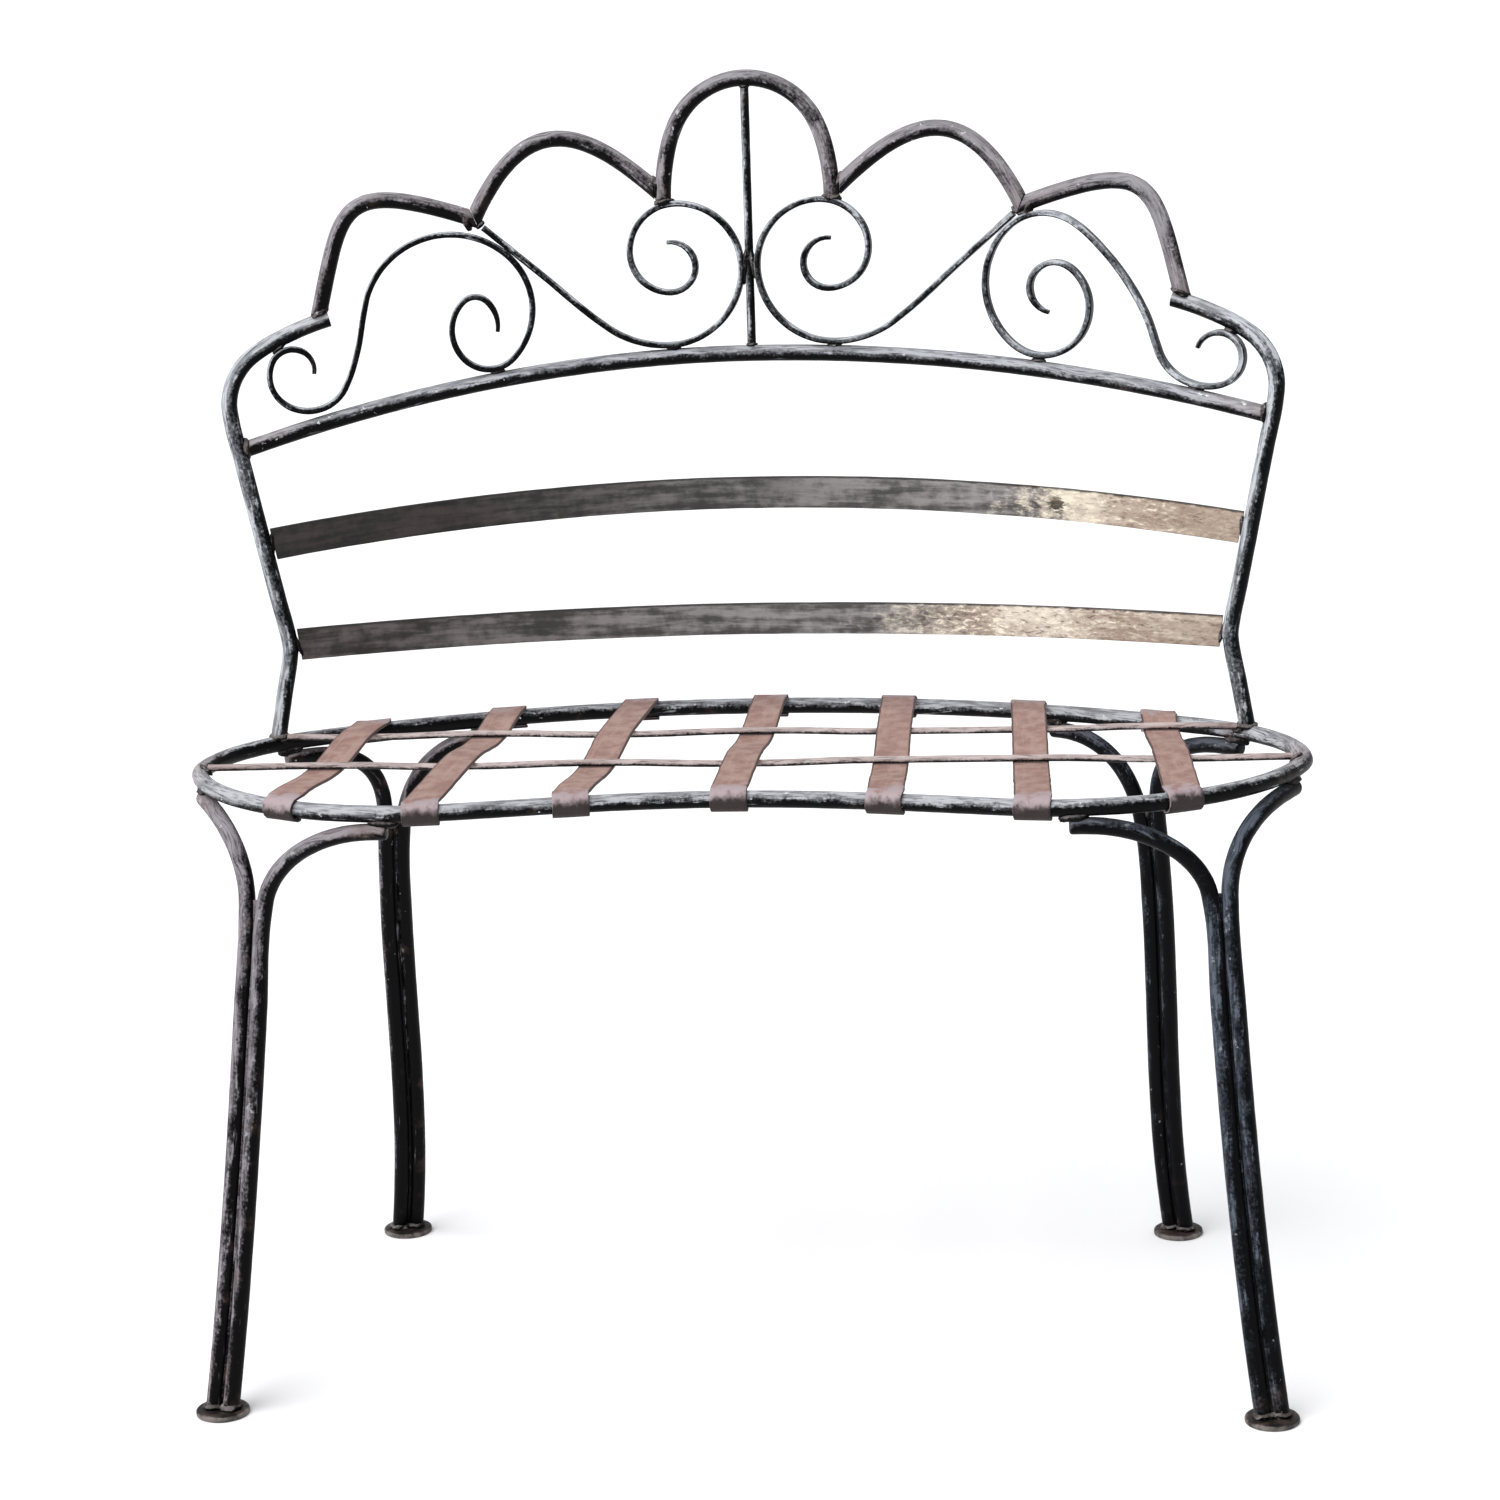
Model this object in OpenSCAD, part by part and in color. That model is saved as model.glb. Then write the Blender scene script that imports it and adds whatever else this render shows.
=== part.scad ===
// Wrought iron garden bench.
// An oval seat of seven flat straps, woven with two rods, stands on four splayed legs of doubled bar.
// A leaning, curved back of round bar is filled with two cross slats and two pairs of flat bar scrolls.
// X runs to the right as seen from the front, Y to the back and Z up. The origin is on the floor,
// midway between the four feet. Pieces that are welded together lie weld_gap apart.

/* [Bars] */
// Diameter of the round bar of the rails, legs, posts, scallops and arch
bar_d = 13; // [11:0.5:13]
// Diameter of the two rods woven through the seat
rod_d = 5.6; // [4:0.2:8]
// Diameter of the upright rod in the middle of the back
spindle_d = 7; // [5:0.5:9]
// Thickness of the flat bar of the scrolls
scroll_t = 4.8; // [3:0.2:6]
// Depth of the flat bar of the scrolls, front to back
scroll_w = 12; // [8:0.5:16]
// Clearance between pieces that are welded together
weld_gap = 0.3; // [0.2:0.05:0.4]

/* [Seat] */
// Height above the floor of the straps where they cross the rails
seat_h = 454; // [400:1:480]
// Width of the seat over its rails
seat_w = 846; // [834:1:870]
// Distance from the middle of the bench to the front rail, on the centre line
front_mid = 110.5; // [100:0.5:120]
// Distance from the middle of the bench to the fullest part of the front rail
front_bow = 146; // [136:0.5:152]
// Distance from the centre line to the fullest part of the front rail
front_bow_x = 231.4; // [215:0.2:250]
// Distance from the middle of the bench to the rear rail, on the centre line
rear_mid = 199; // [190:0.5:204]
// Distance of the seat's tips in front of the middle of the bench
tip_forward = 6.5; // [0:0.5:15]
// Turn of the rear rail's long curve, from the centre line to the corner, in degrees
rear_turn = 32; // [31:0.2:33]
// Width of a strap
strap_w = 28; // [20:1:34]
// Thickness of a strap
strap_t = 2.4; // [1.6:0.2:4]
// Angle of a strap's wrap round a rail, from the top, in degrees
strap_wrap = 200; // [150:5:215]
// Distance from the centre line to the first strap each side, at the front rail
strap_1_front = 114.5; // [100:0.5:130]
// Distance from the centre line to the second strap each side, at the front rail
strap_2_front = 220.7; // [200:0.1:235]
// Distance from the centre line to the third strap each side, at the front rail
strap_3_front = 325.8; // [315:0.1:335]
// Distance from the centre line to the first strap each side, at the rear rail
strap_1_rear = 103.4; // [90:0.1:120]
// Distance from the centre line to the second strap each side, at the rear rail
strap_2_rear = 207; // [190:0.5:220]
// Distance from the centre line to the third strap each side, at the rear rail
strap_3_rear = 308.6; // [300:0.1:320]
// Distance of the front cross rod in front of the middle of the bench
front_rod_in = 20; // [5:1:40]
// Distance of the rear cross rod behind the middle of the bench
rear_rod_in = 81; // [60:1:92]
// Height of the cross rods above the middle of the rails
rod_rise = 5.8; // [4:0.1:6.5]
// How far a cross rod rises and dips where it crosses a strap
rod_wave = 0.8; // [0:0.1:3]

/* [Legs] */
// Diameter of a foot disc
foot_d = 40; // [32:1:50]
// Thickness of a foot disc
foot_t = 4; // [2:0.5:8]
// Distance between the middles of the front and rear feet, front to back
feet_span = 383; // [376:1:400]
// Sideways distance from a front knee out to its foot
front_splay = 32.7; // [20:0.1:45]
// Sideways distance from a rear knee out to its foot
rear_splay = 17.5; // [5:0.5:30]
// Height of a front knee below the middle of the rails
front_knee_drop = 79; // [74:1:86]
// Height of a rear knee below the middle of the rails
rear_knee_drop = 95; // [90:1:102]
// Distance of a front knee in from the seat's tip
front_knee_in = 63.7; // [59:0.1:68]
// Distance of a front knee in front of the rail above it
front_knee_out = 15.1; // [11:0.1:20]
// Distance of a rear knee in from the seat's tip
rear_knee_in = 113.7; // [109:0.1:118]
// Distance of a rear knee behind the rail above it
rear_knee_out = 17.4; // [12:0.1:23]

/* [Back] */
// Backward lean of the back from upright, in degrees
rake = 3.2; // [0:0.1:8]
// Radius of the back's curve, seen from above
back_r = 1411; // [1200:1:1800]
// Distance between the middles of the two post feet
post_w = 752.6; // [744:0.2:760]
// Length of the straight foot of a post, up to its bend
post_foot = 65.5; // [55:0.5:75]
// Inward lean of the foot of a post, in degrees
post_foot_lean = 10.2; // [8:0.2:13]
// Inner radius of the bend above the foot of a post
post_bend_r = 15; // [10:1:30]
// Turn of the bend above the foot of a post, in degrees
post_bend = 21.3; // [19:0.1:24]
// Height of the middle rail, on the centre line, above the start of a post's shoulder
shoulder_drop = 34.85; // [25:0.05:45]
// Inner radius of the shoulder of a post
shoulder_r = 42.2; // [36:0.2:48]
// Turn of the shoulder of a post, in degrees
shoulder_turn = 70.5; // [66:0.5:74]
// Length of the gently curved tip of a post
post_tip = 58; // [50:1:64]
// Distance from the centre line to the cusp where two scallops meet
cusp_x = 210.5; // [204:0.5:218]
// Height of the cusp above the middle rail on the centre line
cusp_rise = 109.5; // [109:0.5:115]
// Distance between the two feet of the centre arch
arch_w = 130; // [122:1:136]
// Radius of the centre arch's sides
arch_side_r = 143; // [120:1:170]
// Height of the middle rail above the seat rails, on the centre line
mid_rail_h = 290.5; // [286:0.5:294]
// Fall of the middle rail from the centre line to its right end
mid_fall_right = 43.5; // [40:0.5:47]
// Fall of the middle rail from the centre line to its left end, which hangs lower
mid_fall_left = 54.5; // [51:0.5:58]
// Height of a cross slat's bar
slat_h = 25; // [16:1:32]
// Thickness of a cross slat's bar
slat_t = 3; // [2:0.5:6]
// Height of the upper slat above the seat rails, on the centre line
upper_slat_h = 182.5; // [160:0.5:205]
// Fall of the upper slat from the centre line to its ends
upper_slat_fall = 25.5; // [10:0.5:35]
// Height of the lower slat above the seat rails, on the centre line
lower_slat_h = 83.5; // [70:0.5:120]
// Fall of the lower slat from the centre line to its ends
lower_slat_fall = 6.5; // [3:0.5:15]

/* [Hidden] */

bar_r = bar_d / 2;
rod_r = rod_d / 2;
// Distance between the middles of two touching round bars
bar_pitch = bar_d + weld_gap;
// Distance from the middle of a round bar to the face of a piece welded to it
bar_face = bar_r + weld_gap;
// Height of the middle of the seat rails above the floor
rail_z = seat_h - strap_t - bar_face;
tip_x = seat_w / 2 - bar_r;
bar_sides = 12;
rod_sides = 8;
// Largest turn and largest length of one step along a bent bar
turn_step = 13;
length_step = 42;
curve_steps = 12;
// Steps along the front rail from its fullest part to the tip, fine enough for the straps' wraps
corner_steps = 24;

iron = "dimgray";
dark_iron = "#3a3a3e";
slat_iron = "#7d7468";
strap_iron = "#a5877d";

// Vectors, curves and routes

function unit(v) = v / norm(v);
function mix(a, b, t) = a + (b - a) * t;
// Smooth change from 0 to 1, level at both ends
function ease(t) = (1 - cos(180 * min(max(t, 0), 1))) / 2;
function dir(a) = [cos(a), sin(a)];
function bezier(p0, p1, p2, p3, t) =
    pow(1 - t, 3) * p0 + 3 * pow(1 - t, 2) * t * p1 + 3 * (1 - t) * t * t * p2 + t * t * t * p3;
function curve(p0, p1, p2, p3, steps = curve_steps) =
    [for (i = [0 : steps]) bezier(p0, p1, p2, p3, i / steps)];

// A route is a list of [u, v, heading]. A step [radius, turn] is an arc, to the left if its turn is
// positive, and a step [length, 0] is straight.
function arc_end(p, r, turn) = let (s = sign(turn), a = p.z + turn)
    [p.x + s * r * (sin(a) - sin(p.z)), p.y - s * r * (cos(a) - cos(p.z)), a];
function line_end(p, length) = [p.x + length * cos(p.z), p.y + length * sin(p.z), p.z];
function step_points(p, s) = s[1] == 0
    ? let (n = ceil(s[0] / length_step)) [for (i = [1 : n]) line_end(p, s[0] * i / n)]
    : let (n = ceil(max(abs(s[1]) / turn_step, abs(s[1]) * PI / 180 * s[0] / length_step)))
        [for (i = [1 : n]) arc_end(p, s[0], s[1] * i / n)];
function route(start, steps, i = 0) = i == len(steps) ? [start]
    : let (points = step_points(start, steps[i]))
        concat([start], [for (j = [0 : 1 : len(points) - 2]) points[j]],
            route(points[len(points) - 1], steps, i + 1));
// A curve between two points, with its heading at each and how far it holds each heading
function curve_route(a, head_a, hold_a, b, head_b, hold_b, steps = curve_steps) =
    let (p = curve(a, a + hold_a * dir(head_a), b - hold_b * dir(head_b), b, steps), last = len(p) - 1)
    [for (i = [0 : last]) let (
            d = p[min(i + 1, last)] - p[max(i - 1, 0)],
            guess = mix(head_a, head_b, i / last))
        [p[i].x, p[i].y, i == 0 ? head_a : i == last ? head_b : head_near(d, guess)]];
// Heading of a direction, in the turn nearest to a guess
function head_near(d, guess) = let (a = atan2(d.y, d.x)) a + 360 * round((guess - a) / 360);
function moved(points, du, dv) = [for (p = points) [p.x + du, p.y + dv, p.z]];
function mirrored(points) = [for (p = points) [-p.x, p.y, 180 - p.z]];
function last_of(list) = list[len(list) - 1];
function segment_distance(p, a, b) = let (d = b - a, t = (p - a) * d / (d * d))
    norm(p - a - min(max(t, 0), 1) * d);
function route_distance(p, points) = min([for (i = [0 : len(points) - 2])
    segment_distance([p.x, p.y], [points[i].x, points[i].y], [points[i + 1].x, points[i + 1].y])]);
// Least distance between two routes, over the points of the first that lie beyond u_from
function least_distance(a, b, u_from) =
    min([for (p = a) if (p.x > u_from) route_distance(p, b)]);

// Sections of the bars, as offsets along the bend and across it

function round_section(r, sides) = [for (i = [0 : sides - 1]) r * dir(360 * (i + 0.5) / sides)];
function flat_section(along, across) =
    [[along / 2, across / 2], [-along / 2, across / 2], [-along / 2, -across / 2], [along / 2, -across / 2]];

// Closed solid through a list of rings, each with as many points as the next
module skin(rings) {
    m = len(rings[0]);
    n = len(rings);
    start_cap = [for (j = [1 : m - 2]) [0, j, j + 1]];
    end_cap = [for (j = [1 : m - 2]) (n - 1) * m * [1, 1, 1] + [0, j + 1, j]];
    sides = [for (i = [0 : n - 2], j = [0 : m - 1])
        let (a = i * m + j, b = i * m + (j + 1) % m)
            each [[a, a + m, b + m], [a, b + m, b]]];
    polyhedron([for (r = rings) each r], concat(start_cap, sides, end_cap), convexity = 8);
}

// Bar swept along points in space. The section's second direction stays near the vector across, and
// each end is cut square to its own normal, or square to the bar where none is given.
function tangent(p, i) = unit(p[min(i + 1, len(p) - 1)] - p[max(i - 1, 0)]);
function bar_ring(centre, t, across, section, cut) =
    let (b = unit(across - (across * t) * t), n = cross(b, t))
    [for (q = section) let (off = q.x * n + q.y * b)
        centre + off - (is_undef(cut) ? 0 : (off * cut) / (t * cut)) * t];
module bar(points, across, section, start_cut = undef, end_cut = undef) {
    last = len(points) - 1;
    skin([for (i = [0 : last]) bar_ring(points[i], tangent(points, i), across, section,
        i == 0 ? start_cut : i == last ? end_cut : undef)]);
}

// Seat outline, as points from the centre line to the tip on the right

// Radii of the rear rail's long curve and of the corner that takes it round to the tip, so that the two
// together span half the width and the depth from the back of the seat to its tip
rear_depth = rear_mid + tip_forward;
rear_share = sin(rear_turn) * cos(rear_turn) - (1 - cos(rear_turn)) * (1 - sin(rear_turn));
rear_r = (tip_x * cos(rear_turn) - rear_depth * (1 - sin(rear_turn))) / rear_share;
rear_corner_r = (rear_depth * sin(rear_turn) - tip_x * (1 - cos(rear_turn))) / rear_share;
rear_half = route([0, rear_mid, 0], [[rear_r, -rear_turn], [rear_corner_r, rear_turn - 90]]);
tip_y = -tip_forward - weld_gap;
bow = [front_bow_x, -front_bow];
// How far the front rail holds its direction, as shares of the way, from the centre line to the bow
// and from the bow to the tip
bow_hold_in = 0.44;
bow_hold_out = 0.14;
corner_hold_in = 0.765;
corner_hold_out = 0.172;
front_half = concat(
    curve([0, -front_mid], [bow_hold_in * bow.x, -front_mid], [(1 - bow_hold_out) * bow.x, bow.y], bow),
    [for (i = [1 : corner_steps]) bezier(bow, [mix(bow.x, tip_x, corner_hold_in), bow.y],
        [tip_x, mix(tip_y, bow.y, corner_hold_out)], [tip_x, tip_y], i / corner_steps)]);
front_table = [for (p = front_half) [p.x, p.y]];
rear_table = [for (p = rear_half) [p.x, p.y]];
// The outline beside the tip, where each y has one x
tip_share = 0.68;
tip_table = [for (p = concat(front_table, rear_table)) if (p.x > tip_share * tip_x) [p.y, p.x]];
function front_y(x) = lookup(abs(x), front_table);
function rear_y(x) = lookup(abs(x), rear_table);
function side_x(y) = lookup(y, tip_table);
// Direction along a rail at x, toward +X, and its outward normal
function front_along(x) = unit([2, front_y(x + 1) - front_y(x - 1), 0]);
function rear_along(x) = unit([2, rear_y(x + 1) - rear_y(x - 1), 0]);
function whole_rail(half) = concat([for (i = [len(half) - 1 : -1 : 1]) [-half[i].x, half[i].y, rail_z]],
    [for (p = half) [p.x, p.y, rail_z]]);

module front_rail() {
    color(iron) bar(whole_rail(front_half), [0, 0, 1], round_section(bar_r, bar_sides),
        [0, 1, 0], [0, 1, 0]);
}

module rear_rail() {
    color(iron) bar(whole_rail(rear_half), [0, 0, 1], round_section(bar_r, bar_sides),
        [0, 1, 0], [0, 1, 0]);
}

// Woven seat

strap_front = [-strap_3_front, -strap_2_front, -strap_1_front, 0, strap_1_front, strap_2_front,
    strap_3_front];
strap_rear = [-strap_3_rear, -strap_2_rear, -strap_1_rear, 0, strap_1_rear, strap_2_rear, strap_3_rear];
// Whether the front cross rod passes over each strap. The rear one takes the other way.
front_rod_over = [true, false, true, false, true, true, false];
front_rod_y = -front_rod_in;
rear_rod_y = rear_rod_in;
rod_z = rail_z + rod_rise;
// Height of a cross rod's middle at a strap, and of the strap's middle there
function rod_level(over) = rod_z + (over ? rod_wave : -rod_wave);
function strap_level(rod_over) =
    rod_level(rod_over) + (rod_over ? -1 : 1) * (rod_r + weld_gap + strap_t / 2);
strap_top_level = seat_h - strap_t / 2;
// Distance from the middle of a rail to a rod's end, whose lower edge rests against the rail
rod_end_in = sqrt(bar_face * bar_face - (rod_rise - rod_r) * (rod_rise - rod_r));
// Half the length over which strap and rod lie level where they cross
level_half = rod_r + 2;
strap_knot_in = bar_r + 4;
wrap_steps = 8;
// Extra clearance of the wraps round the front rail, which bulges a little between a strap's edges
front_slack = 0.15;

// Height of the middle of strap k at y, through its level stretches
function strap_z(k, y) = let (
        front = strap_level(front_rod_over[k]),
        rear = strap_level(!front_rod_over[k]),
        y0 = front_y(strap_front[k]) + strap_knot_in,
        y1 = rear_y(strap_rear[k]) - strap_knot_in)
    y < front_rod_y ? mix(strap_top_level, front, ease((y - y0) / (front_rod_y - level_half - y0)))
    : y < rear_rod_y ? mix(front, rear, ease((y - front_rod_y - level_half)
        / (rear_rod_y - front_rod_y - 2 * level_half)))
    : mix(rear, strap_top_level, ease((y - rear_rod_y - level_half) / (y1 - rear_rod_y - level_half)));
// Places along strap k, as shares of the way from the front rail to the rear one
function strap_stops(k) = let (
        a = front_y(strap_front[k]),
        b = rear_y(strap_rear[k]),
        stops = [a + strap_knot_in, front_rod_y - level_half, front_rod_y + level_half,
            rear_rod_y - level_half, rear_rod_y + level_half, b - strap_knot_in])
    [for (i = [0 : 5], j = [0 : i % 2 == 0 && i < 5 ? 3 : 0])
        (mix(stops[i], stops[min(i + 1, 5)], j / 4) - a) / (b - a)];
// Point of strap k at side -1, 0 or 1 of its width, wrapped round a rail at an angle above level
function wrap_point(x, rail, out, angle, rho) = [x, rail, rail_z]
    + rho * (out * cos(angle) + [0, 0, sin(angle)]);
// Corners of a strap's section in order round it, from inner and outer pairs at sides -1, 1 and 0
function strap_ring(points) = [points[4], points[0], points[1], points[5], points[3], points[2]];
function front_wrap_ring(k, angle) = strap_ring([for (side = [-1, 1, 0]) let (
        x = strap_front[k] + side * strap_w / 2,
        out = cross(front_along(x), [0, 0, 1]),
        near = bar_face + front_slack)
    each [for (rho = [near, near + strap_t]) wrap_point(x, front_y(x), out, angle, rho)]]);
function rear_wrap_ring(k, angle) = strap_ring([for (side = [-1, 1, 0]) let (
        x = strap_rear[k] + side * strap_w / 2,
        out = cross([0, 0, 1], rear_along(x)))
    each [for (rho = [bar_face, bar_face + strap_t]) wrap_point(x, rear_y(x), out, angle, rho)]]);
function strap_stop_ring(k, t) = strap_ring([for (side = [-1, 1, 0]) let (
        xa = strap_front[k] + side * strap_w / 2,
        xb = strap_rear[k] + side * strap_w / 2,
        y = mix(front_y(xa), rear_y(xb), t),
        z = strap_z(k, y))
    each [for (half = [-strap_t / 2, strap_t / 2]) [mix(xa, xb, t), y, z + half]]]);

module seat_strap(k) {
    wrap = [for (i = [0 : wrap_steps]) 90 - strap_wrap * i / wrap_steps];
    color(strap_iron) skin(concat(
        [for (i = [wrap_steps : -1 : 0]) front_wrap_ring(k, wrap[i])],
        [for (t = strap_stops(k)) strap_stop_ring(k, t)],
        [for (a = wrap) rear_wrap_ring(k, a)]));
}

// Cross rod at y, from rail to rail, over or under each strap. The rear one stops at the feet of the posts.
module cross_rod(y, over) {
    rail_end = side_x(y) - rod_end_in * norm([1, (side_x(y + 1) - side_x(y - 1)) / 2]);
    end_x = y > 0 ? min(rail_end, post_x - bar_face - rod_r * tan(post_foot_lean)) : rail_end;
    strap_x = [for (k = [0 : 6]) let (a = front_y(strap_front[k]), b = rear_y(strap_rear[k]))
        mix(strap_front[k], strap_rear[k], (y - a) / (b - a))];
    half = strap_w / 2 + 2;
    stops = concat([[-end_x, rod_z]], [for (k = [0 : 6], s = [-1, 1]) [strap_x[k] + s * half,
        rod_level(over[k])]], [[end_x, rod_z]]);
    points = [for (i = [0 : len(stops) - 2], j = [0 : i % 2 == 0 ? 3 : 0])
        [mix(stops[i].x, stops[i + 1].x, j / 4), y, mix(stops[i].y, stops[i + 1].y, ease(j / 4))]];
    slope = (side_x(y + 1) - side_x(y - 1)) / 2;
    color(iron) bar(concat(points, [[end_x, y, rod_z]]), [0, 0, 1], round_section(rod_r, rod_sides),
        [1, slope, 0], [1, -slope, 0]);
}

// Legs

// A leg's knee, its foot, the direction from its inner to its outer bar, in degrees, and the two ways
// down that both bars have at knee and foot. Then, for the inner and the outer bar, the place of its top
// end, the place where it leaves the rail, and how far it holds that direction and the knee's.
function leg_data(front) = let (
        knee_x = tip_x - (front ? front_knee_in : rear_knee_in),
        foot_z = foot_t + weld_gap)
    front
    ? [[knee_x, front_y(knee_x) - front_knee_out, rail_z - front_knee_drop],
        [knee_x + front_splay, -feet_span / 2, foot_z], 10, [0.06, -0.25, -1], [0.14, -0.12, -1],
        [knee_x - 107, knee_x - 99, 46, 37], [tip_x - 8, tip_x - 11, 76, 36]]
    : [[knee_x, rear_y(knee_x) + rear_knee_out, rail_z - rear_knee_drop],
        [knee_x + rear_splay, feet_span / 2, foot_z], -20, [0.09, 0.18, -1], [0.14, 0.1, -1],
        [knee_x - 78, knee_x - 75, 40, 54], [knee_x + 69.5, knee_x + 58.5, 76, 36]];
function under_rail(front, x) = [x, front ? front_y(x) : rear_y(x), rail_z - bar_pitch];

module leg_bar(front, outer) {
    data = leg_data(front);
    pair = (outer ? 0.5 : -0.5) * bar_pitch * [cos(data[2]), sin(data[2]), 0];
    knee = data[0] + pair;
    foot = data[1] + pair;
    knee_down = unit(data[3]);
    foot_down = unit(data[4]);
    top = data[outer ? 6 : 5];
    leave = under_rail(front, top[1]);
    along = (outer ? -1 : 1) * (front ? front_along(top[1]) : rear_along(top[1]));
    shin = norm(foot - knee) / 3;
    points = concat([under_rail(front, top[0])],
        curve(leave, leave + top[2] * along, knee - top[3] * knee_down, knee, 8),
        [for (i = [1 : 5]) bezier(knee, knee + shin * knee_down, foot - shin * foot_down, foot, i / 5)]);
    bar(points, cross(along, [0, 0, 1]), round_section(bar_r, bar_sides), undef, [0, 0, 1]);
}

module leg(front, left, outer) {
    color(dark_iron) mirror([left ? 1 : 0, 0, 0]) leg_bar(front, outer);
}

module foot(front, left) {
    place = leg_data(front)[1];
    color(dark_iron) translate([left ? -place.x : place.x, place.y, 0])
        cylinder(d = foot_d, h = foot_t, $fn = 48);
}

// The back is drawn flat, with u to the right of the centre line and v up from the middle of the rails,
// and laid onto a surface that leans by rake and curves with radius back_r.

post_x = post_w / 2;
function sag(u) = back_r - sqrt(back_r * back_r - u * u);
back_y = rear_y(post_x) + sag(post_x) - tan(rake) * bar_face;
function back_at(u, v) = [u, back_y + tan(rake) * v - sag(u), rail_z + v];
function back_in(u) = unit([-u / sqrt(back_r * back_r - u * u), -1, tan(rake)]);
// Bar along a route of the back. Each cut is [direction of the cut line, distance it is set back].
function back_ring(p, section, cut, end) = [for (q = section) let (
        s = is_undef(cut) ? 0 : q.x / tan(cut[0] - p.z) - end * cut[1],
        u = p.x - q.x * sin(p.z) + s * cos(p.z),
        v = p.y + q.x * cos(p.z) + s * sin(p.z))
    back_at(u, v) + q.y * back_in(u)];
module back_bar(points, section, start_cut = undef, end_cut = undef) {
    last = len(points) - 1;
    skin([for (i = [0 : last]) back_ring(points[i], section,
        i == 0 ? start_cut : i == last ? end_cut : undef, i == last ? 1 : -1)]);
}
module round_back_bar(points, start_cut = undef, end_cut = undef) {
    color(iron) back_bar(points, round_section(bar_r, bar_sides), start_cut, end_cut);
}
// Cut turned over for the mirrored piece
function cut_for(left, cut) = left && !is_undef(cut) ? [180 - cut[0], cut[1]] : cut;
function side_route(left, points) = left ? mirrored(points) : points;

// Posts

post_tip_r = 207.6;
post_low = route([post_x, bar_face, 90 + post_foot_lean], [
    [post_foot, 0], [post_bend_r + bar_r, -post_bend]]);
// Length of the straight middle of a post, up to its shoulder
post_upper = (mid_rail_h - shoulder_drop - last_of(post_low).y) / sin(last_of(post_low).z);
post_high = route(last_of(post_low), [
    [post_upper, 0], [shoulder_r + bar_r, shoulder_turn], [post_tip_r, post_tip / post_tip_r * 180 / PI]]);
post_route = concat(post_low, [for (i = [1 : len(post_high) - 1]) post_high[i]]);
post_end = last_of(post_route);
// Place and heading of a post by height, up to the turn of its shoulder where it leans in this far
upright_head = 130;
post_table = [for (p = post_route) if (p.z < upright_head) [p.y, p.x]];
head_table = [for (p = post_route) if (p.z < upright_head) [p.y, p.z]];
function post_u(v) = lookup(v, post_table);
function post_head(v) = lookup(v, head_table);

module post(left) {
    round_back_bar(side_route(left, post_route), [left ? 180 : 0, 0]);
}

// Rails and slats between the posts, as arcs that fall from the centre line to both ends

function fall_r(half, fall) = (half * half + fall * fall) / (2 * fall);
// Right end of an arc that reaches the face of the post, found by stepping toward it
function arc_reach(top, r, x, tries = 5) = tries == 0 ? x
    : let (v = top - r + sqrt(r * r - x * x))
        arc_reach(top, r, post_u(v) - bar_face / sin(post_head(v)), tries - 1);
function half_arc(top, r, x, steps) = [for (i = [0 : steps]) let (a = asin(x / r) * i / steps)
    [r * sin(a), top - r * (1 - cos(a)), -a]];
// Arc across the back, with its own fall on each side
function cross_route(top, fall_left, fall_right, steps = 12) = let (
        r_left = fall_r(post_x, fall_left),
        r_right = fall_r(post_x, fall_right),
        left = half_arc(top, r_left, arc_reach(top, r_left, post_x), steps),
        right = half_arc(top, r_right, arc_reach(top, r_right, post_x), steps))
    concat([for (i = [steps : -1 : 1]) [-left[i].x, left[i].y, -left[i].z]], right);
function end_cuts(points) = [[180 - post_head(points[0].y), 0], [post_head(last_of(points).y), 0]];

mid_route = cross_route(mid_rail_h, mid_fall_left, mid_fall_right, 14);
upper_route = cross_route(upper_slat_h, upper_slat_fall, upper_slat_fall);
lower_route = cross_route(lower_slat_h, lower_slat_fall, lower_slat_fall);

module mid_rail() {
    cuts = end_cuts(mid_route);
    round_back_bar(mid_route, cuts[0], cuts[1]);
}

module slat(points) {
    cuts = end_cuts(points);
    color(slat_iron) back_bar(points, flat_section(slat_h, slat_t), cuts[0], cuts[1]);
}

// Scrolls, drawn for the right side. Each pair is scaled to fill the space between spindle and post.

inner_turns = [[19.5, 187], [31.5, 90], [37, 90], [50, 90], [59.5, 90], [80, 42]];
inner_start = [64, 378, 172];
inner_tail = 121;
outer_turns_right = [[19.5, -206], [38.5, -90], [35, -90], [61, -90], [41, -90], [187.5, -28], [118, -9],
    [40, 90], [22, 90], [17.5, 149]];
outer_start_right = [232, 318, 166];
outer_turns_left = [[27, -56], [13, -90], [32, -90], [26.5, -90], [55.5, -90], [67, -127], [213, 15.5],
    [31.5, 90], [27.5, 90], [16.5, 169]];
outer_start_left = [198, 312, 101];
// Distance between a scroll's middle line and that of a round bar, the spindle or another scroll
scroll_on_bar = bar_face + scroll_t / 2;
scroll_on_spindle = spindle_d / 2 + weld_gap + scroll_t / 2;
scroll_on_scroll = scroll_t + weld_gap;

function scaled(steps, k) = [for (s = steps) [s[0] * k, s[1]]];
function mid_fall(left) = left ? mid_fall_left : mid_fall_right;
// Lifts or lowers a route until it rests on the middle rail
function on_mid_rail(points, left) = let (
        r = fall_r(post_x, mid_fall(left)),
        reach = r + scroll_on_bar)
    moved(points, 0, max([for (p = points) mid_rail_h - r + sqrt(reach * reach - p.x * p.x) - p.y]));
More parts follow.
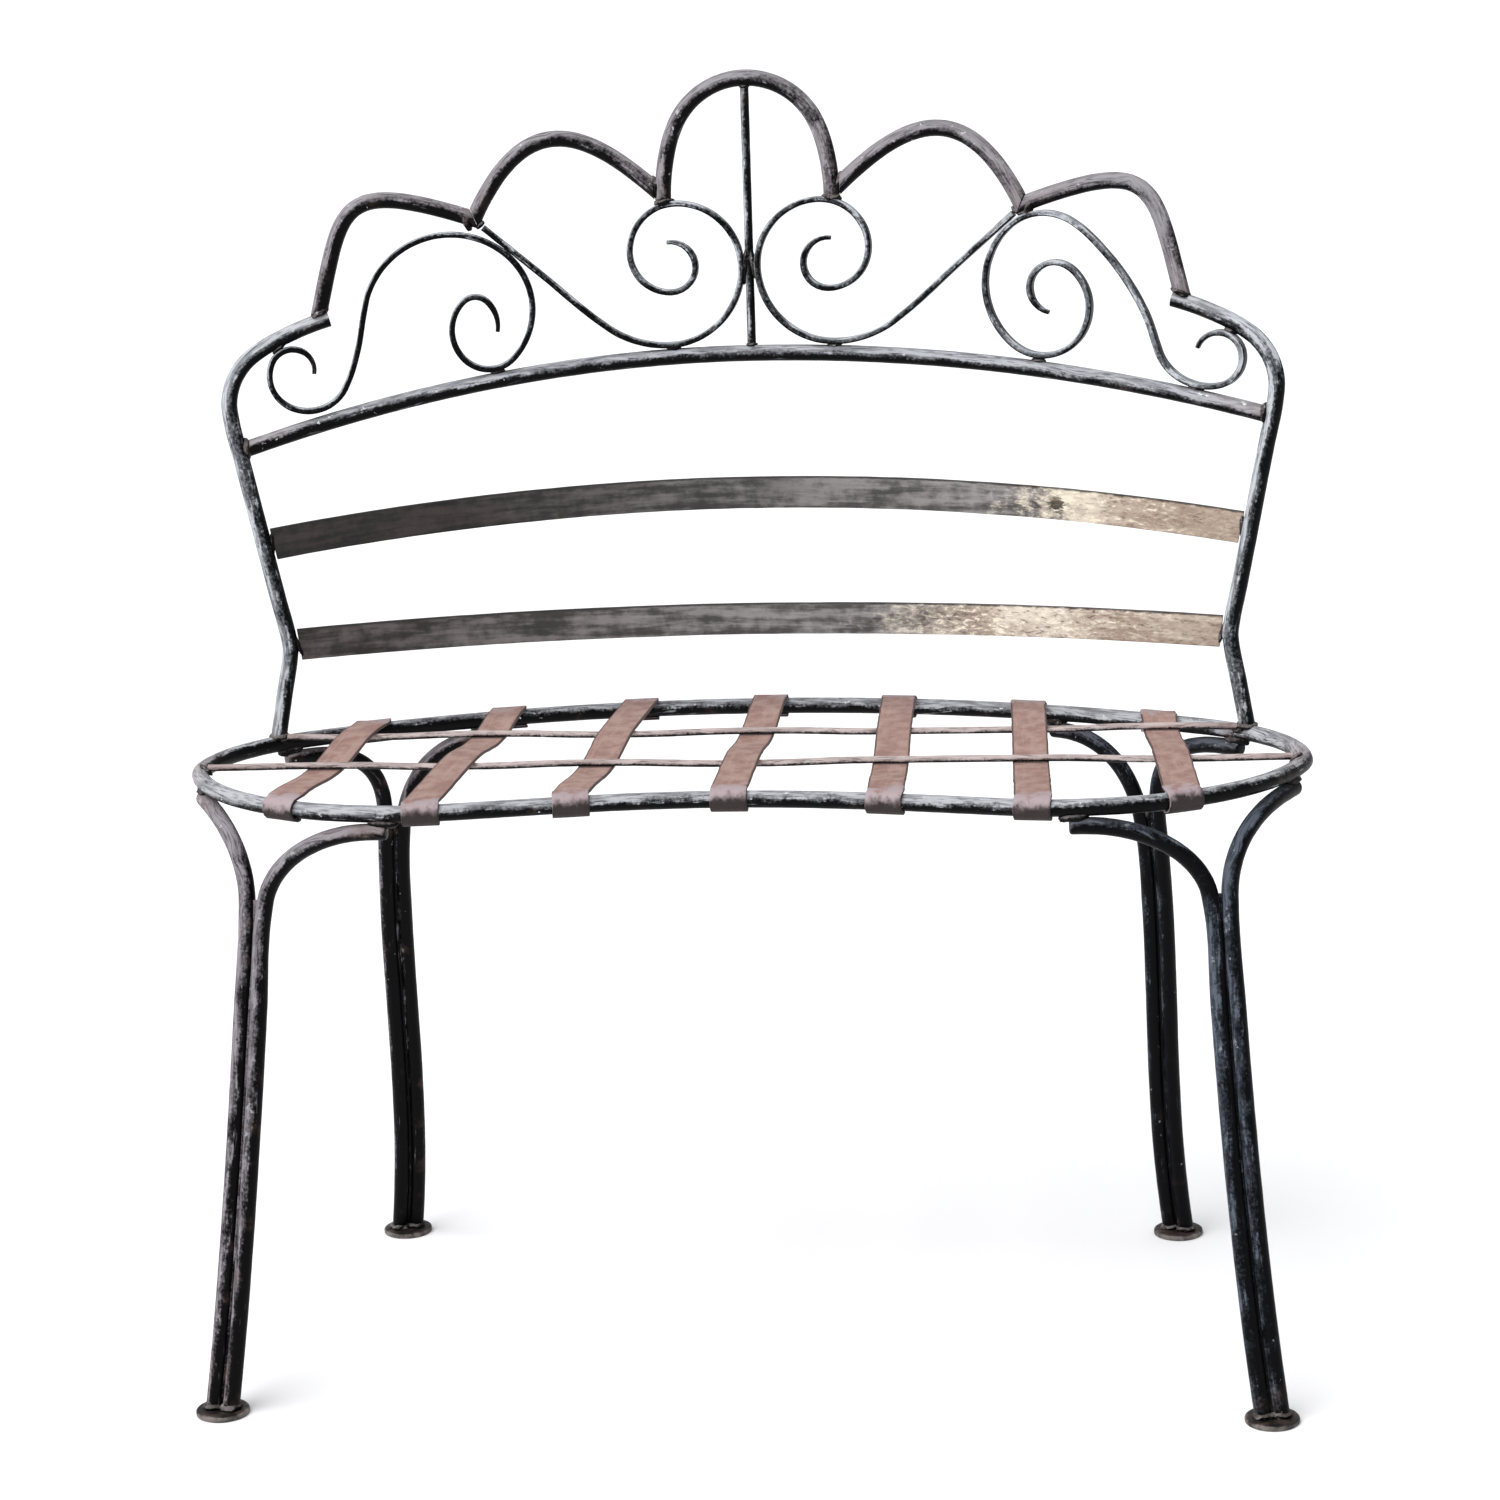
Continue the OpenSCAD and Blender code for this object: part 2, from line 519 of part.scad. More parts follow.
// Inner scroll, against the spindle and on the middle rail, without its tail
function inner_body(k, left) = let (
        flat = route(inner_start, scaled(inner_turns, k)),
        least = min([for (p = flat) p.x]))
    on_mid_rail(moved(flat, scroll_on_spindle - least, 0), left);
// Farthest place at which the big coil of an outer scroll can touch the inner scroll's tail
coil_side_x = 1.24 * cusp_x;
// Slides a route along until it touches the line of the inner scroll's tail
function on_tail(points, tail) = let (across = [-sin(tail.z), cos(tail.z)])
    moved(points, (max([for (p = points) if (p.x < coil_side_x) ([p.x, p.y] - [tail.x, tail.y]) * across])
        + scroll_on_scroll) / sin(tail.z), 0);
function settled(points, tail, left, tries = 4) = tries == 0 ? on_mid_rail(points, left)
    : settled(on_tail(on_mid_rail(points, left), tail), tail, left, tries - 1);
function outer_route(k, left) = settled(
    route(left ? outer_start_left : outer_start_right,
        scaled(left ? outer_turns_left : outer_turns_right, k)),
    last_of(inner_body(k, left)), left);
// Nearest place to the centre line at which the small coil of an outer scroll can touch the post
small_coil_x = 0.7 * post_x;
function post_gap(k, left) =
    least_distance(outer_route(k, left), post_route, small_coil_x) - scroll_on_bar;
// Scale at which the outer scroll just reaches the post
scale_step = 0.01;
function fit_scale(left, k = 1, tries = 3) = tries == 0 ? k
    : let (gap = post_gap(k, left), rate = (post_gap(k + scale_step, left) - gap) / scale_step)
        fit_scale(left, k - gap / rate, tries - 1);
scale_left = fit_scale(true);
scale_right = fit_scale(false);
inner_left = inner_body(scale_left, true);
inner_right = inner_body(scale_right, false);

// Scallops and centre arch

arch_x = arch_w / 2;
arch_side_turn = 20;
crown_r = (arch_x - arch_side_r * (1 - cos(arch_side_turn))) / cos(arch_side_turn);
scallop_slope = 42;
// Height of the top of the inner scroll's coil, where the arch stands on it
function coil_top(points) = max([for (p = points) if (abs(p.x - arch_x) < 2 * bar_r) p.y]) + scroll_t / 2
    + weld_gap;
arch_foot = max(coil_top(inner_left), coil_top(inner_right));
arch_half = route([arch_x, arch_foot, 90], [[2, 0], [arch_side_r, arch_side_turn],
    [crown_r, 90 - arch_side_turn]]);
arch_top = last_of(arch_half).y;
cusp = [cusp_x, mid_rail_h + cusp_rise];
// Headings of the scallops where they meet at the cusp, the outer one coming and the inner one going
outer_head = 199.5;
inner_head = 115.6;
foot_head = 104;
// How far each scallop holds its headings, at its start and at its end
outer_hold = [84, 108];
inner_hold = [101.4, 59.8];
// Direction of the cut where the two scallops meet
mitre = (outer_head + inner_head) / 2 + 90;
mitre_gap = [mitre, weld_gap / 2 / sin(mitre - outer_head)];
// Distance from the cusp to the sharp inner corner of the mitre, and the clearance below it
mitre_reach = bar_r / sin(mitre - outer_head) + weld_gap;
scallop_foot = [post_end.x, post_end.y] - (bar_r - 1) * dir(post_end.z) - bar_face * dir(post_end.z + 90);
scallop_end = [arch_x + bar_face, arch_foot + bar_r / cos(scallop_slope)];
outer_scallop_route = curve_route(scallop_foot, foot_head, outer_hold[0], cusp, outer_head,
    outer_hold[1]);
inner_scallop_route = curve_route(cusp, inner_head, inner_hold[0], scallop_end, 180 + scallop_slope,
    inner_hold[1]);

module outer_scallop(left) {
    round_back_bar(side_route(left, outer_scallop_route), cut_for(left, [post_end.z, 0]),
        cut_for(left, mitre_gap));
}

module inner_scallop(left) {
    round_back_bar(side_route(left, inner_scallop_route), cut_for(left, mitre_gap),
        cut_for(left, [90, 0]));
}

module centre_arch() {
    other = mirrored(arch_half);
    round_back_bar(concat(arch_half, [for (i = [len(other) - 2 : -1 : 0]) [other[i].x, other[i].y,
        other[i].z + 180]]));
}

module centre_spindle() {
    low = mid_rail_h + bar_face;
    high = arch_top - bar_face;
    color(iron) translate(back_at(0, low)) rotate([-rake, 0, 0])
        cylinder(d = spindle_d, h = (high - low) / cos(rake), $fn = 24);
}

module scroll(points, left) {
    color(dark_iron) back_bar(side_route(left, points), flat_section(scroll_t, scroll_w));
}

// The inner scroll's tail runs straight up to the cusp and stops short of both scallops and their mitre
function tail_clear(tail, length) = let (p = line_end(tail, length))
    min([for (side = [-0.5, 0, 0.5]) let (q = [p.x, p.y] + side * scroll_t * dir(tail.z + 90))
        min(route_distance(q, outer_scallop_route) - bar_face,
            route_distance(q, inner_scallop_route) - bar_face, norm(q - cusp) - mitre_reach)]);
function tail_fit(tail, length, tries = 6) = tries == 0 ? length
    : tail_fit(tail, length + tail_clear(tail, length), tries - 1);
function with_tail(points, k) = let (tail = last_of(points),
        length = tail_fit(tail, inner_tail * k - 20))
    concat(points, [line_end(tail, length / 2), line_end(tail, length)]);

module inner_scroll(left) {
    scroll(left ? with_tail(inner_left, scale_left) : with_tail(inner_right, scale_right), left);
}

module outer_scroll(left) {
    scroll(outer_route(left ? scale_left : scale_right, left), left);
}

front_rail();
rear_rail();
seat_strap(0);  // seat_strap_1
seat_strap(1);  // seat_strap_2
seat_strap(2);  // seat_strap_3
seat_strap(3);  // seat_strap_4
seat_strap(4);  // seat_strap_5
seat_strap(5);  // seat_strap_6
seat_strap(6);  // seat_strap_7
cross_rod(front_rod_y, front_rod_over);  // front_cross_rod
cross_rod(rear_rod_y, [for (o = front_rod_over) !o]);  // rear_cross_rod
leg(true, true, false);  // front_left_leg_inner
leg(true, true, true);  // front_left_leg_outer
leg(true, false, false);  // front_right_leg_inner
leg(true, false, true);  // front_right_leg_outer
leg(false, true, false);  // rear_left_leg_inner
leg(false, true, true);  // rear_left_leg_outer
leg(false, false, false);  // rear_right_leg_inner
leg(false, false, true);  // rear_right_leg_outer
foot(true, true);  // front_left_foot
foot(true, false);  // front_right_foot
foot(false, true);  // rear_left_foot
foot(false, false);  // rear_right_foot
post(true);  // left_post
post(false);  // right_post
outer_scallop(true);  // left_outer_scallop
outer_scallop(false);  // right_outer_scallop
inner_scallop(true);  // left_inner_scallop
inner_scallop(false);  // right_inner_scallop
centre_arch();
mid_rail();
slat(upper_route);  // upper_slat
slat(lower_route);  // lower_slat
centre_spindle();
inner_scroll(true);  // left_inner_scroll
inner_scroll(false);  // right_inner_scroll
outer_scroll(true);  // left_outer_scroll
outer_scroll(false);  // right_outer_scroll
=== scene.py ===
"""Looks of a small wrought iron garden bench: forged bars, woven straps, scrolls, welds and worn paint.

Every swept piece takes its line from the rings of corners of its CAD solid, so that it stays where the
solid is. All lengths are in metres: X right as seen from the front, Y to the back, Z up from the floor.
"""
import math

import bmesh
import bpy
from mathutils import Matrix, Vector, geometry, kdtree, noise


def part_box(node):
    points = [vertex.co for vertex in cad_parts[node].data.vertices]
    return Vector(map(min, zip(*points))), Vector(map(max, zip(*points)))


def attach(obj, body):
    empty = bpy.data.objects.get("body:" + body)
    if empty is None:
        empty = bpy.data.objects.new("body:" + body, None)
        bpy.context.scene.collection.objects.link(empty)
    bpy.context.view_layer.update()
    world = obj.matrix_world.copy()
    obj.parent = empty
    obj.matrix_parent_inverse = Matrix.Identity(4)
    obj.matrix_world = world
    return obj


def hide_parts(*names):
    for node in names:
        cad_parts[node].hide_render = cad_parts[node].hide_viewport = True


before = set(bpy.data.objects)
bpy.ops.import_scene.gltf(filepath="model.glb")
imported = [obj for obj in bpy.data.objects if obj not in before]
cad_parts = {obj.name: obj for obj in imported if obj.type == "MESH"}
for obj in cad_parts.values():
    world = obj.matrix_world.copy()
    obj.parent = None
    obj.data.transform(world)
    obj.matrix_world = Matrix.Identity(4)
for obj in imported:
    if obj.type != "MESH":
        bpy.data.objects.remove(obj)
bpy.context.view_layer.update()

MM = 0.001
# Corners in the rings of the solids of round bars, cross rods, straps, and slats and scrolls
BAR_CORNERS = 12
ROD_CORNERS = 8
STRAP_CORNERS = 6
FLAT_CORNERS = 4
# Sides of the round bars and of the thin rods that are drawn here
BAR_SIDES = 20
ROD_SIDES = 12
# Half the thickness of the round bars, cross rods, spindle, scroll bars, slats and straps. The round ones
# reach a touch less far than the corners of their solids
BAR_HALF = 6.4 * MM
ROD_HALF = 2.75 * MM
SPINDLE_HALF = 3.48 * MM
SCROLL_HALF = 2.4 * MM
SLAT_HALF = 1.5 * MM
STRAP_HALF = 1.2 * MM
# Widths of the flat bars, and the radius and thickness of the feet
SLAT_WIDTH = 25 * MM
SCROLL_WIDTH = 12 * MM
STRAP_WIDTH = 28 * MM
FOOT_RADIUS = 20 * MM
FOOT_TOP = 4 * MM
# Half the thickness of the paint between two leg bars that touch, and its width
SEAM_HALF = 0.8 * MM
SEAM_WIDTH = 4.6 * MM
# Width of the strips of faces that a flat bar is divided into
STRIP_WIDTH = 5 * MM
# How far the rims are rounded at the ends of a bar, and at the ends of a leg
RIM = 0.5 * MM
LEG_RIM = 2.4 * MM
# Distance between rings along a bar, fine enough for its bends and its hammer marks
RING_STEP = 4 * MM
# How far a bar is drawn past its end before it is cut along the joint
OVERRUN = 9 * MM
# Length at each end of a bar over which heat and handling show
END_REACH = 60 * MM
# Length over which the end of a scroll is forged out
TIP_REACH = 22 * MM
# Leg bars whose middles lie nearer than this run side by side, with paint in the groove between them
SIDE_BY_SIDE = 15 * MM
# Two places where the same bars meet are one weld if they are nearer than this
WELD_SPACING = 25 * MM
# Bars whose faces lie nearer than this are welded
WELD_SLACK = 2 * MM
# Points nearer than this are one point
TOUCHING = 0.001 * MM
# Edges that turn by more than this stay sharp
SHARP_TURN = math.radians(42)
# How often a bar drawn by hand wavers in a metre
WAVERS = 14
# How far the pattern on one bar is moved on from that on the bar before it, in metres
PATTERN_SHIFT = 0.173
UP = Vector((0, 0, 1))
ACROSS = Vector((1, 0, 0))


# Reading the solids

def layers_from(ring, near, total):
    """Rings of corners from a first one to the far end of a swept solid, or None if it isn't an end."""
    rings, seen = [ring], set(ring)
    while len(seen) < total:
        ahead = {other for corner in rings[-1] for other in near[corner]} - seen
        if len(ahead) != len(ring):
            return None
        shared = [near[a] & near[b] & ahead for a, b in zip(rings[-1], rings[-1][1:] + rings[-1][:1])]
        if any(len(both) != 1 for both in shared):
            return None
        following = [both.pop() for both in shared]
        turned = following[-1:] + following[:-1]
        rings.append(min(following, turned, key=lambda other: sum(
            (b.co - a.co).length for a, b in zip(rings[-1], other))))
        seen |= ahead
    return rings


def solid_rings(name, corners):
    """The rings of corners along a node's swept solid, found from its end cap, whose faces fan from one."""
    bm = bmesh.new()
    bm.from_mesh(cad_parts[name].data)
    bmesh.ops.remove_doubles(bm, verts=bm.verts, dist=TOUCHING)
    near = {v: {e.other_vert(v) for e in v.link_edges} for v in bm.verts}
    found = None
    for hub in sorted(bm.verts, key=lambda v: len(near[v]), reverse=True):
        turn = {}
        for face in hub.link_faces:
            around = list(face.verts)
            at = around.index(hub)
            turn[around[(at + 1) % 3]] = around[(at + 2) % 3]
        for first in turn:
            ring = [hub, first]
            while len(ring) < corners and ring[-1] in turn and turn[ring[-1]] not in ring:
                ring.append(turn[ring[-1]])
            found = len(ring) == corners and layers_from(ring, near, len(bm.verts))
            if found:
                break
        if found:
            break
    rings = [[v.co.copy() for v in ring] for ring in found]
    bm.free()
    return rings


def middle(points):
    return sum(points, Vector()) / len(points)


def wide_way(ring):
    """Direction of the long side of a flat bar's section."""
    if len(ring) == STRAP_CORNERS:
        return (ring[1] - ring[5]).normalized()
    return max((ring[1] - ring[0], ring[2] - ring[1]), key=lambda side: side.length).normalized()


def smooth_line(points, step):
    """Points about one step apart on a smooth line through the given ones, with each one's share between
    the given points before and after it."""
    gaps = [(b - a).length for a, b in zip(points, points[1:])]
    ways = [(b - a) / gap for a, b, gap in zip(points, points[1:], gaps)]
    heads = [None] * len(points)
    for i in range(1, len(points) - 1):
        heads[i] = (ways[i - 1] * gaps[i] + ways[i] * gaps[i - 1]) / (gaps[i] + gaps[i - 1])
    heads[0] = 2 * ways[0] - heads[1] if len(points) > 2 else ways[0]
    heads[-1] = 2 * ways[-1] - heads[-2] if len(points) > 2 else ways[-1]
    line = [(points[0], 0.0)]
    for i, gap in enumerate(gaps):
        count = max(1, round(gap / step))
        reach = gap / 3
        bend = geometry.interpolate_bezier(points[i], points[i] + heads[i] * reach,
                                           points[i + 1] - heads[i + 1] * reach, points[i + 1], count + 1)
        line += [(bend[j], i + j / count) for j in range(1, count + 1)]
    return line


class Route:
    """The middle line of a bar, with the wide way of its section, half its thickness, and the planes that
    its ends are cut on."""

    def __init__(self, points, wides, half, cuts=()):
        self.points, self.wides, self.half, self.cuts = points, wides, half, cuts
        last = len(points) - 1
        self.ways = [(points[min(i + 1, last)] - points[max(i - 1, 0)]).normalized()
                     for i in range(last + 1)]
        self.along = [0.0]
        for a, b in zip(points, points[1:]):
            self.along.append(self.along[-1] + (b - a).length)


routes = {}


def solid_route(name, corners, half, cut_ends=False, step=RING_STEP):
    """The route of a node's swept solid. A joint cuts its ends off, unless they are square."""
    rings = solid_rings(name, corners)
    middles = [middle(ring) for ring in rings]
    wides = [wide_way(ring) for ring in rings]
    if wides[0].z < 0:
        wides[0] = -wides[0]
    for i in range(1, len(wides)):
        if wides[i].dot(wides[i - 1]) < 0:
            wides[i] = -wides[i]
    line = smooth_line(middles, step)
    spread = []
    for point, share in line:
        i = min(int(share), len(wides) - 2)
        spread.append(wides[i].lerp(wides[i + 1], share - i))
    route = Route([point for point, share in line], spread, half)
    if cut_ends:
        for ring, way in ((rings[0], -route.ways[0]), (rings[-1], route.ways[-1])):
            half_way = len(ring) // 2
            out = (ring[half_way] - ring[0]).cross(ring[half_way + half_way // 2] - ring[half_way // 2])
            route.cuts += ((middle(ring), out.normalized() * (1 if out.dot(way) > 0 else -1)),)
    routes[name] = route
    return route


# Forging the pieces

def finish_mesh(bm, name, material, nodes=()):
    """Turns a mesh in the making into a shown piece that stands for its CAD nodes."""
    bmesh.ops.recalc_face_normals(bm, faces=bm.faces)
    for face in bm.faces:
        face.smooth = True
    for edge in bm.edges:
        edge.smooth = edge.is_manifold and edge.calc_face_angle() < SHARP_TURN
    mesh = bpy.data.meshes.new(name)
    bm.to_mesh(mesh)
    bm.free()
    mesh.materials.append(material)
    piece = bpy.data.objects.new(name, mesh)
    bpy.context.collection.objects.link(piece)
    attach(piece, "root")
    if nodes:
        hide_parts(*nodes)


def beaten(bm, depth, size, seed):
    """Moves each vertex inward by a soft noise, as hammer and scale leave a forged surface."""
    bm.normal_update()
    shift = Vector((seed * 3.1, seed * 1.7, seed * 2.3))
    for v in bm.verts:
        v.co -= v.normal * depth * (0.5 + 0.5 * noise.noise(v.co / size + shift))


def section_of(bm, half, wide, corner):
    """A first section: a round one where it has no wide side, otherwise a rounded rectangle."""
    if wide is None:
        sides = BAR_SIDES if half == BAR_HALF else ROD_SIDES
        bmesh.ops.create_circle(bm, cap_ends=True, segments=sides, radius=half)
        return
    made = bmesh.ops.create_grid(bm, x_segments=1, y_segments=max(1, round(wide / STRIP_WIDTH)), size=0.5)
    bmesh.ops.scale(bm, vec=(2 * half, wide, 1), verts=made["verts"])
    tips = [v for v in bm.verts if len(v.link_edges) == 2]
    bmesh.ops.bevel(bm, geom=tips, offset=corner, offset_type="OFFSET", affect="VERTICES", segments=3,
                    profile=0.5, material=-1)


def draw_bar(route, wide=None, corner=None, sizes=None, waver=0.0, seed=0, rim=RIM):
    """Draws a bar along its route, ring by ring. Each point keeps its place on the straight bar, and how
    near it is to an end."""
    bm = bmesh.new()
    section_of(bm, route.half, wide, corner)
    place = bm.verts.layers.float_vector.new("bar")
    near_end = bm.verts.layers.float.new("near_end")
    extra = OVERRUN if route.cuts else 0
    points = list(route.points)
    points[0] = points[0] - route.ways[0] * extra
    points[-1] = points[-1] + route.ways[-1] * extra
    frames = []
    for i, point in enumerate(points):
        way = route.ways[i]
        across = (route.wides[i] - way * route.wides[i].dot(way)).normalized()
        thin = across.cross(way)
        if waver and 3 < i < len(points) - 4:
            spot = point * WAVERS
            point = point + (thin * noise.noise(spot + Vector((seed, 0, 0)))
                             + across * noise.noise(spot + Vector((0, seed, 7)))) * waver
        grow = sizes[i] if sizes else (1, 1)
        turn = Matrix((thin, across, way)).transposed().to_4x4()
        frames.append(Matrix.Translation(point) @ turn @ Matrix.Diagonal((grow[0], grow[1], 1, 1)))

    def mark(verts, i):
        flat = frames[i].inverted()
        from_end = min(route.along[i], route.along[-1] - route.along[i])
        for v in verts:
            local = flat @ v.co
            v[place] = (seed * PATTERN_SHIFT + route.along[i], local.x, local.y)
            v[near_end] = max(0.0, 1 - from_end / END_REACH)

    bmesh.ops.transform(bm, matrix=frames[0], verts=bm.verts)
    mark(bm.verts, 0)
    ring = [e for e in bm.edges if e.is_boundary]
    for i in range(1, len(frames)):
        made = bmesh.ops.extrude_edge_only(bm, edges=ring)["geom"]
        fresh = {g for g in made if isinstance(g, bmesh.types.BMVert)}
        ring = [g for g in made if isinstance(g, bmesh.types.BMEdge) and fresh.issuperset(g.verts)]
        bmesh.ops.transform(bm, matrix=frames[i] @ frames[i - 1].inverted(), verts=list(fresh))
        mark(fresh, i)
    bmesh.ops.contextual_create(bm, geom=ring)
    bmesh.ops.recalc_face_normals(bm, faces=bm.faces)
    for at, out in route.cuts:
        cut_end(bm, at, out)
    if not route.cuts:
        caps = [f for f in bm.faces if len(f.verts) > 4]
        break_rims(bm, list({e for f in caps for e in f.edges}), rim)
    return bm


def break_rims(bm, rims, size):
    """Rounds the sharp rims at a bar's ends."""
    bmesh.ops.bevel(bm, geom=rims, offset=size, offset_type="OFFSET", affect="EDGES", segments=3,
                    profile=0.5, material=-1)


def cut_end(bm, at, out):
    """Cuts a bar off along a joint."""
    close = [v for v in bm.verts if (v.co - at).length < 3 * OVERRUN]
    edges = {e for v in close for e in v.link_edges}
    faces = {f for v in close for f in v.link_faces}
    cut = bmesh.ops.bisect_plane(bm, geom=[*close, *edges, *faces], dist=TOUCHING, plane_co=at,
                                 plane_no=out, clear_outer=True)
    rim = [g for g in cut["geom_cut"] if isinstance(g, bmesh.types.BMEdge) and g.is_boundary]
    bmesh.ops.contextual_create(bm, geom=rim)
    break_rims(bm, rim, RIM)


def forged_tips(route, ends):
    """Sizes along a flat bar, of which the given ends, 0 the first and -1 the last, are forged thin."""
    sizes = []
    for along in route.along:
        rise = 1.0
        for end in ends:
            rise = min(rise, abs(along - route.along[end]) / TIP_REACH)
        sizes.append((0.7 + 0.3 * rise, 0.5 + 0.5 * rise))
    return sizes


# Finishes

def colour(code):
    """Linear colour of an sRGB hex value."""
    parts = [int(code[i:i + 2], 16) / 255 for i in (1, 3, 5)]
    return tuple(c / 12.92 if c <= 0.04045 else ((c + 0.055) / 1.055) ** 2.4 for c in parts) + (1.0,)


def add(tree, kind, inputs=None, out=0, **settings):
    """Adds a node with its settings and links, and gives back the output that the next one takes."""
    made = tree.nodes.new(kind)
    for key, value in settings.items():
        setattr(made, key, value)
    for key, value in (inputs or {}).items():
        if isinstance(value, bpy.types.NodeSocket):
            tree.links.new(value, made.inputs[key])
        else:
            made.inputs[key].default_value = value
    return made.outputs[out] if made.outputs else None


# Settings of the nodes that blend two colours, and of the ranges that start and end softly
BLEND = {"out": 2, "data_type": "RGBA"}
SOFT = {"interpolation_type": "SMOOTHSTEP"}


def new_finish(name):
    made = bpy.data.materials.new(name)
    made.use_nodes = True
    made.node_tree.nodes.clear()
    return made, made.node_tree


# Faces that look this way, towards the key light, are painted lighter grey as painted light, and faces
# turned away keep the black as painted shade
PAINTED_LIGHT_WAY = Vector((-0.5, -0.1, 0.86)).normalized()


def worn_paint(name, black, grey, pale, wear_and_highlight, chips, rust, lighter_from=0.0, lighter_towards=(0, 0, 0), on_bar=True):
    """Old brushed-on black paint over forged iron: black underneath, where it is also painted shade, and
    grey on the faces towards the key light, painted light over streaks of bleaching and wear, with pale
    streaks that are part wear and part painted highlight, silvery chips to bare metal and brown freckles of
    rust, more of them near welds. The grey starts from lighter_from, and grows by the length of
    lighter_towards with each metre that way."""
    finish, tree = new_finish(name)
    where = add(tree, "ShaderNodeTexCoord", out="Object")
    place = add(tree, "ShaderNodeAttribute", out="Vector", attribute_name="bar") if on_bar else where
    # Streaks of brushing and wear, about 30 mm long and 4 mm wide, or blotches of 8 mm off the bars
    drawn = add(tree, "ShaderNodeMapping", {"Vector": place,
                                            "Scale": (33, 250, 250) if on_bar else (120, 120, 120)})
    streak = add(tree, "ShaderNodeTexNoise", {"Vector": drawn, "Scale": 1.0, "Detail": 4.0,
                                              "Roughness": 0.62})
    # Hair lines about 12 mm long and 1 mm wide
    drawn = add(tree, "ShaderNodeMapping", {"Vector": place, "Scale": (80, 850, 850)})
    hair = add(tree, "ShaderNodeTexNoise", {"Vector": drawn, "Scale": 1.0, "Detail": 2.0, "Roughness": 0.5})
    # Weathered patches about 25 mm across, chips of 3 to 8 mm, specks of 2 mm, and grain under a millimetre
    patch = add(tree, "ShaderNodeTexNoise", {"Vector": place, "Scale": 40.0, "Detail": 3.0,
                                             "Roughness": 0.55})
    chip = add(tree, "ShaderNodeTexNoise", {"Vector": place, "Scale": 150.0, "Detail": 4.0,
                                            "Roughness": 0.55})
    speck = add(tree, "ShaderNodeTexNoise", {"Vector": place, "Scale": 420.0, "Detail": 3.0,
                                             "Roughness": 0.6})
    grain = add(tree, "ShaderNodeTexNoise", {"Vector": place, "Scale": 1100.0, "Detail": 2.0})
    near_end = add(tree, "ShaderNodeAttribute", out="Fac", attribute_name="near_end")
    # Painted light: how squarely each face looks towards the key light
    normal = add(tree, "ShaderNodeNewGeometry", out="Normal")
    painted_light_facing = add(tree, "ShaderNodeVectorMath", {0: normal, 1: PAINTED_LIGHT_WAY}, out="Value",
                 operation="DOT_PRODUCT")
    spread = add(tree, "ShaderNodeVectorMath", {0: where, 1: lighter_towards}, out="Value",
                 operation="DOT_PRODUCT")
    spread = add(tree, "ShaderNodeMath", {0: spread, 1: lighter_from}, operation="ADD")
    lit = add(tree, "ShaderNodeMath", {0: streak, 1: 0.8, 2: painted_light_facing}, operation="MULTIPLY_ADD")
    lit = add(tree, "ShaderNodeMath", {0: patch, 1: 0.9, 2: lit}, operation="MULTIPLY_ADD")
    lit = add(tree, "ShaderNodeMath", {0: speck, 1: 0.9, 2: lit}, operation="MULTIPLY_ADD")
    lit = add(tree, "ShaderNodeMath", {0: lit, 1: spread}, operation="ADD")
    # Painted light and shade with wear: faces towards the light and worn streaks turn grey, the rest stays
    # black
    light_and_wear_mask = add(tree, "ShaderNodeMapRange", {"Value": lit, "From Min": 1.2, "From Max": 1.8}, **SOFT)
    base = add(tree, "ShaderNodeMix", {0: light_and_wear_mask, 6: colour(black), 7: colour(grey)}, **BLEND)
    # Pale streaks, part dust and wear and part painted highlight on the faces towards the light
    dust_and_highlight = add(tree, "ShaderNodeMath", {0: light_and_wear_mask, 1: 0.22, 2: streak}, operation="MULTIPLY_ADD")
    dust_and_highlight = add(tree, "ShaderNodeMapRange", {"Value": dust_and_highlight, "From Min": 0.62, "From Max": 0.80,
                                             "To Max": wear_and_highlight}, **SOFT)
    base = add(tree, "ShaderNodeMix", {0: dust_and_highlight, 6: base, 7: colour(pale)}, **BLEND)
    hollow = add(tree, "ShaderNodeMapRange", {"Value": hair, "From Min": 0.53, "From Max": 0.66,
                                              "To Max": 0.55}, **SOFT)
    base = add(tree, "ShaderNodeMix", {0: hollow, 6: base, 7: colour(black)}, **BLEND)
    # The heat of welding has turned the grey rosy near the joints
    blush = add(tree, "ShaderNodeMath", {0: near_end, 1: light_and_wear_mask}, operation="MULTIPLY")
    blush = add(tree, "ShaderNodeMapRange", {"Value": blush, "From Max": 0.8, "To Max": rust})
    base = add(tree, "ShaderNodeMix", {0: blush, 6: base, 7: colour("#8f7d7b")}, **BLEND)
    rusty = add(tree, "ShaderNodeMath", {0: near_end, 1: 0.12, 2: patch}, operation="MULTIPLY_ADD")
    rusty = add(tree, "ShaderNodeMapRange", {"Value": rusty, "From Min": 0.6, "From Max": 0.75,
                                             "To Max": rust}, **SOFT)
    base = add(tree, "ShaderNodeMix", {0: rusty, 6: base, 7: colour("#574339")}, **BLEND)
    worn = add(tree, "ShaderNodeMath", {0: light_and_wear_mask, 1: 0.07, 2: chip}, operation="MULTIPLY_ADD")
    bare = add(tree, "ShaderNodeMapRange", {"Value": worn, "From Min": 0.71, "From Max": 0.74,
                                            "To Max": chips}, **SOFT)
    base = add(tree, "ShaderNodeMix", {0: bare, 6: base, 7: colour("#c6c7c9")}, **BLEND)
    dull = add(tree, "ShaderNodeMath", {0: light_and_wear_mask, 1: 0.2, 2: 0.27}, operation="MULTIPLY_ADD")
    dull = add(tree, "ShaderNodeMath", {0: grain, 1: 0.25, 2: dull}, operation="MULTIPLY_ADD")
